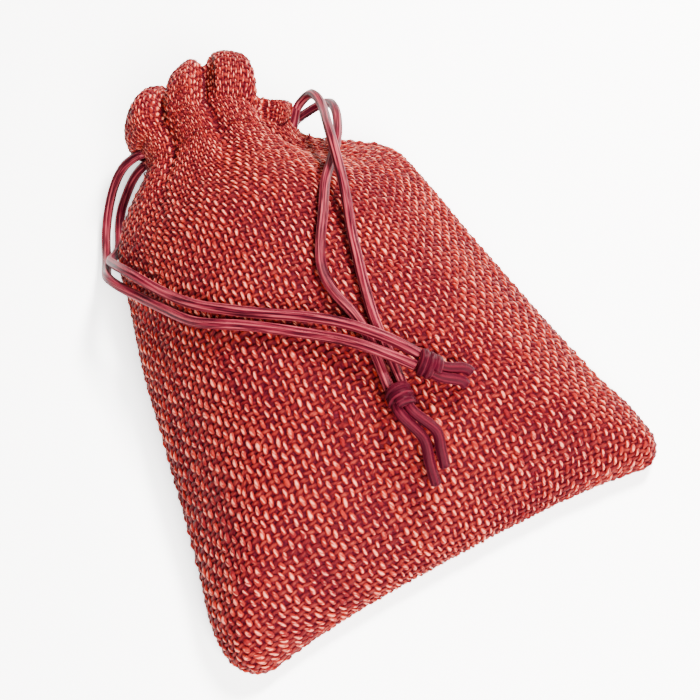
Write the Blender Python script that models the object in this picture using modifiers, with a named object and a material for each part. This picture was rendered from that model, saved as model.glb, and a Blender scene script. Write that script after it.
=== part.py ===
"""A small drawstring pouch of plain-woven jute cloth, puffed out and lying on its back.

All sizes are in metres. X runs across the pouch, Y from its bottom edge towards its mouth
and Z up from the table. The cloth is one closed solid: its outer face with the weave and the
gathers, the rim, the lining of the folded hem with the draw channel behind it, and the inner
face of the wall. Two drawstrings run round the channel in lanes of their own. Each leaves at
its own side of the neck and comes back over the front, where its ends are knotted together.
"""

from math import pi

import bmesh
import bpy
import numpy as np
from mathutils import Vector
from mathutils.bvhtree import BVHTree

# Cloth and cord stock
CLOTH = 0.0007
YARN_RELIEF = 0.00015
LAYER_GAP = 0.0003
CORD_DIAMETER = 0.0022
CORD_CLEARANCE = 0.0003
CHANNEL_CLEARANCE = 0.0005

# The filled body, from the middle of the bottom edge to the middle of the draw channel
BODY_LENGTH = 0.1085
BOTTOM_WIDTH = 0.0990
CORNER_RADIUS = 0.0070
CORNER_DROP = 0.0026
EDGE_RADIUS = 0.0018
RISE = 0.0205
LEFT_SLOPE = 0.031
RIGHT_SLOPE = 0.045
BOTTOM_SLOPE = 0.040
LIFT_REACH = 0.016
TABLE_BLEND = 0.0006
RIDGE_SOFTNESS = 3.0

# Shares of the body length, with half width as a share of the bottom's, sideways shift,
# height of the side edges above the table, and rise as a share of RISE
STATIONS = (
    (0.00, 1.000, 0.0000, 0.0026, 1.00),
    (0.11, 0.985, -0.0013, 0.0038, 1.00),
    (0.20, 0.935, -0.0017, 0.0048, 1.00),
    (0.39, 0.860, -0.0017, 0.0060, 1.00),
    (0.54, 0.812, -0.0017, 0.0066, 0.99),
    (0.66, 0.772, -0.0012, 0.0072, 0.95),
    (0.76, 0.732, -0.0008, 0.0082, 0.88),
    (0.84, 0.690, -0.0004, 0.0092, 0.80),
    (0.92, 0.665, -0.0013, 0.0104, 0.70),
    (1.00, 0.375, -0.0015, 0.0117, 0.55),
)

# The neck that the drawstrings gather, as the cloth's outer face between its pleats
NECK_WIDTH = 0.0330
NECK_HEIGHT = 0.0200
NECK_TILT = 0.07
SHOULDER = 0.76

# The folded hem: its header stands past the channel as a ruffle that leans to the right
HEADER_LENGTH = 0.0180
HEADER_LEAN = 22.0
HEADER_SWELLING = 0.35
LINING_GATHER = 0.45
LANE_PITCH = CORD_DIAMETER + 0.0005
CHANNEL_HEIGHT = 2 * LANE_PITCH
CHANNEL_DEPTH = -(CLOTH + CHANNEL_CLEARANCE + CORD_DIAMETER / 2)
HEM_ALLOWANCE = 0.0014

# Gathers round the neck, as shares of the way round from the left edge over the front:
# pleat height, header length as a share of HEADER_LENGTH, outward bend in degrees and puff
# in degrees
PLEATS = (
    (0.010, 0.0024, 0.86, -18.0, 20.0),
    (0.062, 0.0028, 0.88, -26.0, 26.0),
    (0.110, 0.0002, 0.46, -10.0, 0.0),
    (0.148, 0.0020, 0.78, -24.0, 20.0),
    (0.192, 0.0024, 0.84, -26.0, 18.0),
    (0.230, 0.0002, 0.66, -10.0, -6.0),
    (0.268, 0.0024, 0.84, -24.0, 18.0),
    (0.312, 0.0028, 0.82, -20.0, 22.0),
    (0.352, 0.0002, 0.38, 0.0, 0.0),
    (0.400, 0.0018, 0.34, -10.0, 28.0),
    (0.446, 0.0008, 0.26, -6.0, 12.0),
    (0.500, 0.0000, 0.22, 0.0, 6.0),
    (0.600, 0.0008, 0.36, -4.0, 6.0),
    (0.655, 0.0000, 0.50, -8.0, 4.0),
    (0.715, 0.0014, 0.64, -8.0, 14.0),
    (0.775, 0.0000, 0.58, -8.0, 4.0),
    (0.835, 0.0014, 0.68, -8.0, 14.0),
    (0.895, 0.0000, 0.52, -8.0, 4.0),
    (0.955, 0.0016, 0.72, -14.0, 14.0),
)
PLEATS_START = 0.80

# Mesh density: columns round the pouch, and the spacing of the rows of the outer face
COLUMNS = 72
ROW_PITCH = 0.0033
HEADER_ROWS = 7
LINING_HEADER_ROWS = 5
INNER_ROW_PITCH = 0.0130
SHOULDER_ROW_PITCH = 0.0052
MERGE_DISTANCE = 0.00002
PROFILE_SAMPLES = 240
HEADER_STEPS = 28
SETTLING_PASSES = 4

# Slits in the wall, one at each side of the neck, for the two ends of a drawstring
SLIT_REACH = 0.0045
SLIT_CLEARANCE = 0.0009
SLIT_ROUNDING = 0.0005

# Routes of the drawstrings' free legs, from the slit to the knot, with Y measured from the
# middle of the draw channel
LEFT_OUTER_LEG = (
    (-0.0205, 0.0032, 0.0134),
    (-0.0240, 0.0043, 0.0112),
    (-0.0275, 0.0037, 0.0076),
    (-0.0308, 0.0013, 0.0042),
    (-0.0335, -0.0023, 0.0022),
    (-0.0358, -0.0073, 0.0020),
    (-0.0372, -0.0125, 0.0036),
    (-0.0385, -0.0180, 0.0078),
    (-0.0390, -0.0235, 0.0132),
    (-0.0372, -0.0285, 0.0155),
    (-0.0348, -0.0329, 0.0168),
    (-0.0311, -0.0408, 0.0208),
    (-0.0272, -0.0479, 0.0243),
    (-0.0191, -0.0550, 0.0281),
    (-0.0093, -0.0628, 0.0292),
    (-0.0042, -0.0678, 0.0306),
    (0.0008, -0.0733, 0.0307),
    (0.0050, -0.0775, 0.0289),
)
LEFT_INNER_LEG = (
    (-0.0204, 0.0025, 0.0100),
    (-0.0234, 0.0027, 0.0076),
    (-0.0265, 0.0015, 0.0040),
    (-0.0294, -0.0009, 0.0022),
    (-0.0315, -0.0047, 0.0016),
    (-0.0332, -0.0100, 0.0026),
    (-0.0350, -0.0145, 0.0064),
    (-0.0364, -0.0197, 0.0118),
    (-0.0354, -0.0250, 0.0168),
    (-0.0335, -0.0299, 0.0192),
    (-0.0303, -0.0363, 0.0208),
    (-0.0259, -0.0445, 0.0250),
    (-0.0182, -0.0523, 0.0284),
    (-0.0084, -0.0593, 0.0295),
    (-0.0030, -0.0645, 0.0309),
    (0.0026, -0.0707, 0.0309),
    (0.0069, -0.0759, 0.0289),
)
RIGHT_STRAIGHT_LEG = (
    (0.0170, -0.0017, 0.0131),
    (0.0192, -0.0005, 0.0142),
    (0.0208, -0.0015, 0.0168),
    (0.0208, -0.0050, 0.0196),
    (0.0200, -0.0100, 0.0213),
    (0.0165, -0.0202, 0.0268),
    (0.0138, -0.0293, 0.0290),
    (0.0113, -0.0379, 0.0286),
    (0.0084, -0.0459, 0.0282),
    (0.0070, -0.0506, 0.0284),
    (0.0057, -0.0549, 0.0284),
    (0.0042, -0.0604, 0.0281),
    (0.0030, -0.0652, 0.0279),
    (0.0025, -0.0695, 0.0276),
    (0.0021, -0.0747, 0.0272),
    (0.0013, -0.0795, 0.0278),
)
RIGHT_BOWED_LEG = (
    (0.0170, -0.0023, 0.0104),
    (0.0205, -0.0017, 0.0108),
    (0.0234, -0.0030, 0.0134),
    (0.0238, -0.0075, 0.0176),
    (0.0220, -0.0130, 0.0200),
    (0.0190, -0.0190, 0.0222),
    (0.0145, -0.0253, 0.0244),
    (0.0095, -0.0317, 0.0270),
    (0.0058, -0.0383, 0.0280),
    (0.0014, -0.0455, 0.0286),
    (-0.0008, -0.0499, 0.0288),
    (-0.0016, -0.0542, 0.0288),
    (-0.0010, -0.0585, 0.0285),
    (0.0000, -0.0624, 0.0282),
    (0.0004, -0.0660, 0.0279),
    (0.0000, -0.0700, 0.0276),
    (-0.0005, -0.0745, 0.0272),
    (-0.0013, -0.0793, 0.0278),
)
LEG_PITCH = 2.5 * CORD_DIAMETER
CHANNEL_PITCH = 1.2 * CORD_DIAMETER
CHANNEL_STEP = 3
CORD_CURVE_RESOLUTION = 2
CURVE_STEPS = 24

# Knots at the ends of the drawstrings, as barrels, and the tails that hang out of them
KNOT_LENGTH = 0.0050
KNOT_RADIUS = 0.0028
KNOT_SEGMENTS = 16
KNOT_RINGS = 10
KNOT_FULLNESS = 3
LEFT_TAILS = (
    ((0.0118, -0.0833, 0.0262), (0.0126, -0.0845, 0.0256)),
    ((0.0138, -0.0815, 0.0262), (0.0147, -0.0827, 0.0256)),
)
RIGHT_TAILS = (
    ((0.0004, -0.0895, 0.0242), (-0.0004, -0.0940, 0.0214), (-0.0008, -0.0973, 0.0190)),
    ((0.0032, -0.0893, 0.0244), (0.0026, -0.0927, 0.0224), (0.0020, -0.0955, 0.0206)),
)

# Base colour and roughness
JUTE_CLOTH = ((0.40, 0.045, 0.035, 1.0), 0.85)
ROSE_CORD = ((0.36, 0.045, 0.06, 1.0), 0.45)

TINY = 0.000000001


def smooth_step(value):
    """Rise from 0 to 1 with flat ends."""
    share = np.clip(value, 0.0, 1.0)
    return share * share * (3.0 - 2.0 * share)


def through_points(places, values, wanted):
    """Read a smooth curve, free of overshoot, through hand-chosen points."""
    places = np.asarray(places, float)
    values = np.asarray(values, float)
    steps = np.diff(places)
    rates = np.diff(values) / steps
    slopes = np.empty(len(values))
    slopes[0] = rates[0]
    slopes[-1] = rates[-1]
    same_way = rates[:-1] * rates[1:] > 0
    mean = (rates[:-1] + rates[1:]) / 2
    least = 2 * np.minimum(np.abs(rates[:-1]), np.abs(rates[1:]))
    slopes[1:-1] = np.where(same_way, np.sign(mean) * np.minimum(np.abs(mean), least), 0.0)
    index = np.clip(np.searchsorted(places, wanted, side="right") - 1, 0, len(steps) - 1)
    share = (wanted - places[index]) / steps[index]
    step = steps[index]
    return (
        values[index] * (1 + 2 * share) * (1 - share) ** 2
        + slopes[index] * step * share * (1 - share) ** 2
        + values[index + 1] * share**2 * (3 - 2 * share)
        + slopes[index + 1] * step * share**2 * (share - 1)
    )


def round_the_neck(column):
    """Read one column of PLEATS at every mesh column, closing smoothly on itself."""
    places = [pleat[0] for pleat in PLEATS]
    values = [pleat[column] for pleat in PLEATS]
    places = [place - 1 for place in places[-2:]] + places + [place + 1 for place in places[:2]]
    values = values[-2:] + values + values[:2]
    squares = np.sign(values) * np.square(values)
    rounded = through_points(places, squares, np.arange(COLUMNS) / COLUMNS)
    return np.sign(rounded) * np.sqrt(np.abs(rounded))


def equal_steps(points, count):
    """Place count + 1 points at equal distances along a line of points."""
    lengths = np.linalg.norm(np.diff(points, axis=0), axis=1)
    along = np.concatenate([[0.0], np.cumsum(lengths)])
    wanted = np.linspace(0.0, along[-1], count + 1)
    return np.stack([np.interp(wanted, along, points[:, axis]) for axis in range(3)], axis=1)


def soft_least(*distances):
    """Take about the least of some positive distances, without a crease where they meet."""
    total = sum(np.maximum(distance, TINY) ** -RIDGE_SOFTNESS for distance in distances)
    return total ** (-1.0 / RIDGE_SOFTNESS)


def at_station(height, column):
    """Read one column of STATIONS at a height along the body."""
    places = [station[0] for station in STATIONS]
    values = [station[column] for station in STATIONS]
    return float(through_points(places, values, np.array(min(height / BODY_LENGTH, 1.0))))


def body_section(height, front):
    """Give the front or back half of the filled body's section, from left edge to right."""
    half = BOTTOM_WIDTH / 2 * at_station(height, 1)
    corner = max(CORNER_RADIUS - height, 0.0)
    half -= CORNER_RADIUS - np.sqrt(CORNER_RADIUS**2 - corner**2)
    shift = at_station(height, 2)
    edge_height = at_station(height, 3)
    across = -np.cos(np.linspace(0.0, pi, PROFILE_SAMPLES))
    left = half * (1 + across)
    right = half * (1 - across)
    inward = soft_least(left, right, np.full_like(left, height))
    rounding = EDGE_RADIUS * np.sqrt(1 - (1 - np.minimum(inward / EDGE_RADIUS, 1.0)) ** 2)
    if front:
        slope = soft_least(left / LEFT_SLOPE, right / RIGHT_SLOPE, height / BOTTOM_SLOPE)
        fullness = 1 - (1 - np.minimum(slope, 1.0)) ** 2
        z = edge_height + rounding + RISE * at_station(height, 4) * fullness
    else:
        sag = (1 - np.minimum(inward / LIFT_REACH, 1.0)) ** 2
        z = edge_height * sag - rounding
        z = np.where(
            z > TABLE_BLEND,
            z,
            np.where(z < -TABLE_BLEND, 0.0, (z + TABLE_BLEND) ** 2 / (4 * TABLE_BLEND)),
        )
        z = np.where(inward < MERGE_DISTANCE, edge_height, z)
    fade = 1 - smooth_step(height / (BODY_LENGTH / 2))
    y = height - CORNER_DROP * fade * np.abs(across) ** 3
    return np.stack([shift + half * across, y, z], axis=1)


def neck_section(height, front):
    """Give the front or back half of an oval section as wide as the body is there."""
    half = BOTTOM_WIDTH / 2 * at_station(height, 1)
    blend = smooth_step((height / BODY_LENGTH - SHOULDER) / (1 - SHOULDER))
    half += (NECK_WIDTH / 2 - half) * blend
    turn = np.linspace(0.0, pi, PROFILE_SAMPLES)
    side = 1.0 if front else -1.0
    x = at_station(height, 2) - half * np.cos(turn)
    z = at_station(height, 3) + side * NECK_HEIGHT / 2 * np.sin(turn)
    return np.stack([x, np.full_like(x, height), z], axis=1)


def ring(height):
    """Give one closed ring of the unpleated outer face, starting at the left edge."""
    blend = smooth_step((height / BODY_LENGTH - SHOULDER) / (1 - SHOULDER))
    halves = []
    for front in (True, False):
        body = equal_steps(body_section(height, front), COLUMNS // 2)
        neck = equal_steps(neck_section(height, front), COLUMNS // 2)
        halves.append(body + (neck - body) * blend)
    points = np.concatenate([halves[0][:-1], halves[1][:0:-1]])
    points[:, 1] -= NECK_TILT * blend * points[:, 0]
    points[:, 2] = np.maximum(points[:, 2], 0.0)
    return points


def header_rings(base, outward, shares):
    """Carry the neck's last ring on as the header, each column along its own bent path.

    A column starts outward by its puff, ends inward by it and turns by its bend on the way.
    The rings come with the outward normals of the paths.
    """
    length = HEADER_LENGTH * round_the_neck(2)
    bend = np.radians(round_the_neck(3))[:, None]
    puff = np.radians(round_the_neck(4))[:, None]
    lean = np.radians(HEADER_LEAN)
    axial = np.array([np.sin(lean), np.cos(lean), 0.0])
    rings = []
    normals = []
    for share in shares:
        steps = (np.arange(HEADER_STEPS) + 0.5) / HEADER_STEPS * share
        angles = bend * steps + puff * np.cos(pi * steps)
        step_length = length[:, None] * share / HEADER_STEPS
        forward = (np.cos(angles) * step_length).sum(axis=1)
        out = (np.sin(angles) * step_length).sum(axis=1)
        rings.append(base + forward[:, None] * axial + out[:, None] * outward)
        last = angles[:, -1:]
        normals.append(outward * np.cos(last) - axial * np.sin(last))
    return rings, normals


def outward_normals(grid):
    """Give the unit normals of a grid of rings, pointing out of the pouch."""
    around = np.roll(grid, -1, axis=1) - np.roll(grid, 1, axis=1)
    along = np.gradient(grid, axis=0)
    normals = np.cross(around, along)
    normals /= np.maximum(np.linalg.norm(normals, axis=2, keepdims=True), TINY)
    normals[0] = (0.0, -1.0, 0.0)
    return normals


class OuterFace:
    """The unpleated outer face as rings with normals and pleat heights, read at any height."""

    def __init__(self):
        rounding = [0.0, EDGE_RADIUS / 4, EDGE_RADIUS, 2 * EDGE_RADIUS]
        self.header_base = BODY_LENGTH + CHANNEL_HEIGHT / 2 + LAYER_GAP
        rest = self.header_base - rounding[-1]
        count = round(rest / ROW_PITCH)
        heights = rounding + [rounding[-1] + rest * (i + 1) / count for i in range(count)]
        rings = [ring(height) for height in heights]
        base = rings[-1]
        sideways = np.roll(base, -1, axis=0) - np.roll(base, 1, axis=0)
        outward = np.cross(sideways, np.array([0.0, 1.0, 0.0]))
        outward /= np.linalg.norm(outward, axis=1, keepdims=True)
        shares = [(i + 1) / HEADER_ROWS for i in range(HEADER_ROWS)]
        header, header_normals = header_rings(base, outward, shares)
        rings += header
        heights += [self.header_base + share * HEADER_LENGTH for share in shares]
        self.heights = np.array(heights)
        self.rings = np.array(rings)
        self.normals = outward_normals(self.rings)
        self.normals[-HEADER_ROWS:] = header_normals
        self.pleats = round_the_neck(1)

    def pleat_height(self, height):
        """Give the pleats' height round one ring: they fade down the body and stay off the table."""
        fade = smooth_step((height / BODY_LENGTH - PLEATS_START) / (1 - PLEATS_START))
        in_header = np.clip((height - self.header_base) / HEADER_LENGTH, 0.0, 1.0)
        fade *= 1 + HEADER_SWELLING * np.sin(pi * in_header)
        points, normals = self.read(height)
        down = np.maximum(-normals[:, 2], TINY)
        room = np.maximum(points[:, 2] - YARN_RELIEF, 0.0) / down
        return np.minimum(self.pleats * fade, room)

    def read(self, height):
        """Give the ring and its normals at any height, between the modelled rings."""
        row = np.interp(height, self.heights, np.arange(len(self.heights)))
        low = min(int(row), len(self.heights) - 2)
        share = row - low
        points = self.rings[low] * (1 - share) + self.rings[low + 1] * share
        normals = self.normals[low] * (1 - share) + self.normals[low + 1] * share
        return points, normals / np.linalg.norm(normals, axis=1, keepdims=True)

    def layer(self, height, depth):
        """Give one ring of a layer, moved along the normals by depth, one value or many."""
        points, normals = self.read(height)
        return points + normals * np.reshape(depth, (-1, 1))


def spaced(start, end, pitch):
    """List heights from start, left out, to end at about one pitch."""
    count = round(abs(end - start) / pitch)
    return [start + (end - start) * (i + 1) / count for i in range(count)]


def cloth_rings(face):
    """List the rings of the whole cloth solid, from the bottom edge out, in and down again."""
    rings = []
    for row, height in enumerate(face.heights):
        points = face.rings[row]
        woven = np.where((np.arange(COLUMNS) + row) % 2 == 0, YARN_RELIEF, -YARN_RELIEF)
        on_table = points[:, 2] < YARN_RELIEF
        edge_row = row == 0 or row == len(face.heights) - 1
        relief = np.where(on_table | edge_row, 0.0, woven)
        raised = points + face.normals[row] * (face.pleat_height(height) + relief)[:, None]
        raised[:, 2] = np.maximum(raised[:, 2], 0.0)
        rings.append(raised)

    rim = face.heights[-1]
    wall_depth = -CLOTH
    lining_back = -CLOTH - LAYER_GAP
    tunnel_back = -CLOTH - 2 * CHANNEL_CLEARANCE - CORD_DIAMETER
    channel_top = BODY_LENGTH + CHANNEL_HEIGHT / 2
    channel_bottom = BODY_LENGTH - CHANNEL_HEIGHT / 2
    hem_edge = channel_bottom - HEM_ALLOWANCE

    def lining(height, depth):
        """Give one ring of the lining, which follows the pleats only in the header."""
        gathered = LINING_GATHER * face.pleat_height(height)
        share = smooth_step((height - channel_top) / (3 * HEM_ALLOWANCE))
        return face.layer(height, depth + gathered * share)

    last_step = rings[-1] - rings[-2]
    last_step /= np.linalg.norm(last_step, axis=1, keepdims=True)
    thickness = 2 * CLOTH + LAYER_GAP
    rings.append((rings[-1] + lining(rim, lining_back - CLOTH)) / 2 + last_step * thickness / 2)

    header_pitch = (rim - channel_top - 2 * HEM_ALLOWANCE) / LINING_HEADER_ROWS
    header = [rim - i * header_pitch for i in range(LINING_HEADER_ROWS + 1)]
    lane = [channel_top, BODY_LENGTH, channel_bottom]
    for height in header:
        rings.append(lining(height, lining_back - CLOTH))
    for height in lane:
        rings.append(lining(height, tunnel_back - CLOTH))
    rings.append(lining(hem_edge, lining_back - CLOTH))
    rings.append(lining(hem_edge, lining_back))
    for height in reversed(lane):
        rings.append(lining(height, tunnel_back))
    for height in reversed(header[1:]):
        rings.append(lining(height, lining_back))
    fold = rim - CLOTH
    rings.append(lining(fold, lining_back / 2 + wall_depth / 2))
    for height in header[1:] + lane + [hem_edge]:
        rings.append(face.layer(height, face.pleat_height(height) + wall_depth))
    shoulder = SHOULDER * BODY_LENGTH
    inner = spaced(hem_edge, shoulder, SHOULDER_ROW_PITCH)
    inner += spaced(shoulder, 2 * EDGE_RADIUS, INNER_ROW_PITCH)
    for height in inner:
        rings.append(face.layer(height, face.pleat_height(height) + wall_depth))
    rings.append(face.layer(EDGE_RADIUS, wall_depth))
    rings.append(face.layer(0.0, wall_depth))
    return rings


def mesh_object(name, mesh, collection, material):
    """Put a mesh in a collection as a named object with its material."""
    thing = bpy.data.objects.new(name, mesh)
    collection.objects.link(thing)
    mesh.materials.append(material)
    return thing


def lofted_mesh(name, rings):
    """Loft a closed mesh through rings of equal count whose first and last are flat lines.

    The quads are split along the diagonal between their raised corners, so that the weave
    shows as rows of small bumps.
    """
    loft = bmesh.new()
    rows = [[loft.verts.new(point) for point in ring_points] for ring_points in rings]
    last = len(rows) - 2
    for row, (low, high) in enumerate(zip(rows, rows[1:])):
        # The last row closes on a line, where the end triangles must not fall on each other
        turn = 1 if row == last else row
        for i in range(len(low)):
            j = (i + 1) % len(low)
            if (i + turn) % 2 == 0:
                loft.faces.new((low[i], high[i], high[j]))
                loft.faces.new((low[i], high[j], low[j]))
            else:
                loft.faces.new((low[i], high[i], low[j]))
                loft.faces.new((high[i], high[j], low[j]))
    bmesh.ops.remove_doubles(loft, verts=loft.verts, dist=MERGE_DISTANCE)
    bmesh.ops.recalc_face_normals(loft, faces=loft.faces)
    mesh = bpy.data.meshes.new(name)
    loft.to_mesh(mesh)
    loft.free()
    return mesh


def make_material(name, finish):
    """Make a Principled material of one colour and roughness."""
    colour, roughness = finish
    material = bpy.data.materials.new(name)
    material.use_nodes = True
    shader = material.node_tree.nodes["Principled BSDF"]
    shader.inputs["Base Color"].default_value = colour
    shader.inputs["Roughness"].default_value = roughness
    return material


def make_collection(name):
    """Make a collection in the scene."""
    collection = bpy.data.collections.new(name)
    bpy.context.scene.collection.children.link(collection)
    return collection


def outer_surface(face):
    """Give the pleated outer face, without its weave, for the cords to lie on."""
    rings = [face.layer(height, face.pleat_height(height)) for height in face.heights]
    points = [Vector(point) for ring_points in rings for point in ring_points]
    faces = []
    for row in range(len(rings) - 1):
        for i in range(COLUMNS):
            j = (i + 1) % COLUMNS
            low = row * COLUMNS
            faces.append((low + i, low + j, low + COLUMNS + j, low + COLUMNS + i))
    return BVHTree.FromPolygons(points, faces)


def slit_cutter(name, face, lane, column, collection):
    """Make the rounded block that opens the wall for the two cords at one side of the neck."""
    wall = face.layer(lane, 0.0)[column]
    channel = face.layer(lane, CHANNEL_DEPTH)[column]
    outward = (wall - channel) / np.linalg.norm(wall - channel)
    outer = wall + outward * SLIT_REACH
    block = bmesh.new()
    bmesh.ops.create_cube(block, size=1.0)
    size = Vector((
        abs(outer[0] - channel[0]),
        CORD_DIAMETER + 2 * SLIT_CLEARANCE,
        2 * CORD_DIAMETER + CORD_CLEARANCE + 2 * SLIT_CLEARANCE,
    ))
    bmesh.ops.scale(block, vec=size, verts=block.verts)
    mesh = bpy.data.meshes.new(name)
    block.to_mesh(mesh)
    block.free()
    cutter = bpy.data.objects.new(name, mesh)
    collection.objects.link(cutter)
    cutter.location = Vector((outer + channel) / 2)
    bevel = cutter.modifiers.new("rounding", "BEVEL")
    bevel.width = SLIT_ROUNDING
    bevel.segments = 1
    cutter.hide_render = True
    cutter.display_type = "WIRE"
    return cutter


def combine(thing, tool, operation):
    """Cut a tool out of a part, or join it on."""
    boolean = thing.modifiers.new(tool.name, "BOOLEAN")
    boolean.operation = operation
    boolean.solver = "EXACT"
    boolean.object = tool


def smooth_route(points, pitch):
    """Read a smooth curve through a route's own points at equal steps of about one pitch."""
    points = np.array(points, float)
    ends = np.vstack([2 * points[0] - points[1], points, 2 * points[-1] - points[-2]])
    fine = []
    for before, start, end, after in zip(ends, ends[1:], ends[2:], ends[3:]):
        for share in np.linspace(0.0, 1.0, CURVE_STEPS, endpoint=False):
            square, cube = share**2, share**3
            fine.append(0.5 * (
                2 * start
                + (end - before) * share
                + (2 * before - 5 * start + 4 * end - after) * square
                + (3 * start - before - 3 * end + after) * cube
            ))
    fine.append(points[-1])
    fine = np.array(fine)
    length = np.linalg.norm(np.diff(fine, axis=0), axis=1).sum()
    return equal_steps(fine, max(2, round(length / pitch)))


def laid_on(points, cloth):
    """Move a leg's points out until the cord lies on the cloth and not in it."""
    reach = CORD_DIAMETER / 2 + CORD_CLEARANCE + YARN_RELIEF
    laid = []
    for point in points:
        place = Vector(point)
        for _ in range(SETTLING_PASSES):
            nearest, normal, _, distance = cloth.find_nearest(place)
            inside = (place - nearest).dot(normal) < 0
            if distance >= reach and not inside:
                break
            place = nearest + normal * reach
        laid.append(place)
    return laid


def tube(name, points, collection):
    """Make a cord along a route as a round tube with closed ends."""
    curve = bpy.data.curves.new(name, "CURVE")
    curve.dimensions = "3D"
    spline = curve.splines.new("POLY")
    spline.points.add(len(points) - 1)
    for place, point in zip(spline.points, points):
        place.co = (*point, 1.0)
    curve.bevel_depth = CORD_DIAMETER / 2
    curve.bevel_resolution = CORD_CURVE_RESOLUTION
    curve.use_fill_caps = True
    thing = bpy.data.objects.new(name, curve)
    collection.objects.link(thing)
    return thing


def tube_tool(name, points, collection):
    """Make a tube as a hidden mesh that a Boolean can use."""
    curve = tube(name + "_route", points, collection)
    graph = bpy.context.evaluated_depsgraph_get()
    mesh = bpy.data.meshes.new_from_object(curve.evaluated_get(graph))
    bpy.data.objects.remove(curve)
    tool = bpy.data.objects.new(name, mesh)
    collection.objects.link(tool)
    tool.hide_render = True
    tool.display_type = "WIRE"
    return tool


def from_channel(route):
    """Place a route whose Y is measured from the middle of the draw channel."""
    return tuple((x, BODY_LENGTH + along, z) for x, along, z in route)


def channel_run(face, lane, first, last):
    """List the drawstring's points in its lane of the channel, between two columns."""
    ring_points = face.layer(lane, CHANNEL_DEPTH)
    return [ring_points[column % COLUMNS] for column in range(first, last + 1, CHANNEL_STEP)]


def knot(name, legs, tails, collection, tools, material):
    """Make a drawstring's knot past the ends of its legs: a barrel with two tails behind it."""
    ends = np.array([leg[-1] for leg in legs])
    heading = sum(np.array(leg[-1]) - np.array(leg[-2]) for leg in legs)
    heading /= np.linalg.norm(heading)
    middle = ends.mean(axis=0) + heading * (CORD_CLEARANCE + KNOT_LENGTH / 2)
    shape = bmesh.new()
    bmesh.ops.create_uvsphere(shape, u_segments=KNOT_SEGMENTS, v_segments=KNOT_RINGS, radius=1.0)
    for vertex in shape.verts:
        bulge = (1 - abs(vertex.co.z) ** KNOT_FULLNESS) ** (1 / KNOT_FULLNESS)
        around = max(Vector(vertex.co[:2]).length, TINY)
        vertex.co.x *= bulge / around * KNOT_RADIUS
        vertex.co.y *= bulge / around * KNOT_RADIUS
        vertex.co.z *= KNOT_LENGTH / 2
    turn = Vector((0.0, 0.0, 1.0)).rotation_difference(Vector(heading)).to_matrix()
    bmesh.ops.rotate(shape, matrix=turn, verts=shape.verts)
    bmesh.ops.translate(shape, vec=Vector(middle), verts=shape.verts)
    bmesh.ops.remove_doubles(shape, verts=shape.verts, dist=MERGE_DISTANCE)
    mesh = bpy.data.meshes.new(name)
    shape.to_mesh(mesh)
    shape.free()
    mesh.shade_smooth()
    barrel = mesh_object(name, mesh, collection, material)
    sideways = ends[0] - ends[1]
    sideways *= (CORD_DIAMETER + CORD_CLEARANCE) / 2 / np.linalg.norm(sideways)
    exit_face = middle + heading * KNOT_LENGTH / 2
    for i, (tail, side) in enumerate(zip(tails, (1, -1))):
        route = [middle + side * sideways, exit_face + side * sideways, *tail]
        tool = tube_tool(f"{name}_tail_{i}", smooth_route(route, LEG_PITCH / 2), tools)
        combine(barrel, tool, "UNION")


def centre_on_cloth(rings, *collections):
    """Move all objects so that the cloth's base centre is the origin."""
    low = np.min(rings, axis=(0, 1))
    high = np.max(rings, axis=(0, 1))
    middle = Vector(((low[0] + high[0]) / 2, (low[1] + high[1]) / 2, low[2]))
    for collection in collections:
        for thing in collection.objects:
            thing.location -= middle


def main():
    """Build the pouch, its drawstrings and their knots, and centre them on the cloth."""
    for thing in list(bpy.data.objects):
        bpy.data.objects.remove(thing)
    parts = make_collection("drawstring_pouch")
    tools = make_collection("cutters")
    cloth = make_material("jute_cloth", JUTE_CLOTH)
    cord = make_material("rose_cord", ROSE_CORD)
    face = OuterFace()
    rings = cloth_rings(face)
    pouch = mesh_object("pouch", lofted_mesh("pouch", rings), parts, cloth)

    left_lane = BODY_LENGTH + LANE_PITCH / 2
    right_lane = BODY_LENGTH - LANE_PITCH / 2
    right_edge = COLUMNS // 2
    left_slit = slit_cutter("left_slit", face, left_lane, 0, tools)
    right_slit = slit_cutter("right_slit", face, right_lane, right_edge, tools)
    combine(pouch, left_slit, "DIFFERENCE")
    combine(pouch, right_slit, "DIFFERENCE")

    surface = outer_surface(face)
    routes = (
        ("left", left_lane, 0, LEFT_OUTER_LEG, LEFT_INNER_LEG, LEFT_TAILS),
        ("right", right_lane, right_edge, RIGHT_BOWED_LEG, RIGHT_STRAIGHT_LEG, RIGHT_TAILS),
    )
    for side, lane, slit, over_route, under_route, tail_routes in routes:
        over = from_channel(over_route)
        under = from_channel(under_route)
        tails = [from_channel(tail) for tail in tail_routes]
        run = channel_run(face, lane, slit + CHANNEL_STEP, slit + COLUMNS - CHANNEL_STEP)
        first = laid_on(smooth_route(over[::-1] + (run[0],), LEG_PITCH), surface)
        middle = smooth_route([over[0], *run, under[0]], CHANNEL_PITCH)
        last = laid_on(smooth_route((run[-1],) + under, LEG_PITCH), surface)
        drawstring = tube(f"{side}_drawstring", [*first[:-2], *middle, *last[2:]], parts)
        drawstring.data.materials.append(cord)
        knot(f"{side}_knot", (over, under), tails, parts, tools, cord)
    centre_on_cloth(rings, parts, tools)


main()
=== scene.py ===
"""A small red drawstring pouch of plain-woven jute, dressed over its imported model.

X runs across the pouch from left to right, Y from its bottom edge towards its mouth and Z up
from the table that it lies on. The cloth is made yarn by yarn over the pouch's own form, the
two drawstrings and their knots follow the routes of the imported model, and everything rides on
the pouch's one body.
"""

import logging
from dataclasses import dataclass, field
from enum import Enum, IntEnum
from math import cos, pi, radians, sin
from typing import Any, Sequence

import bmesh
import bpy
import numpy as np
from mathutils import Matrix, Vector
from mathutils.bvhtree import BVHTree


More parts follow.
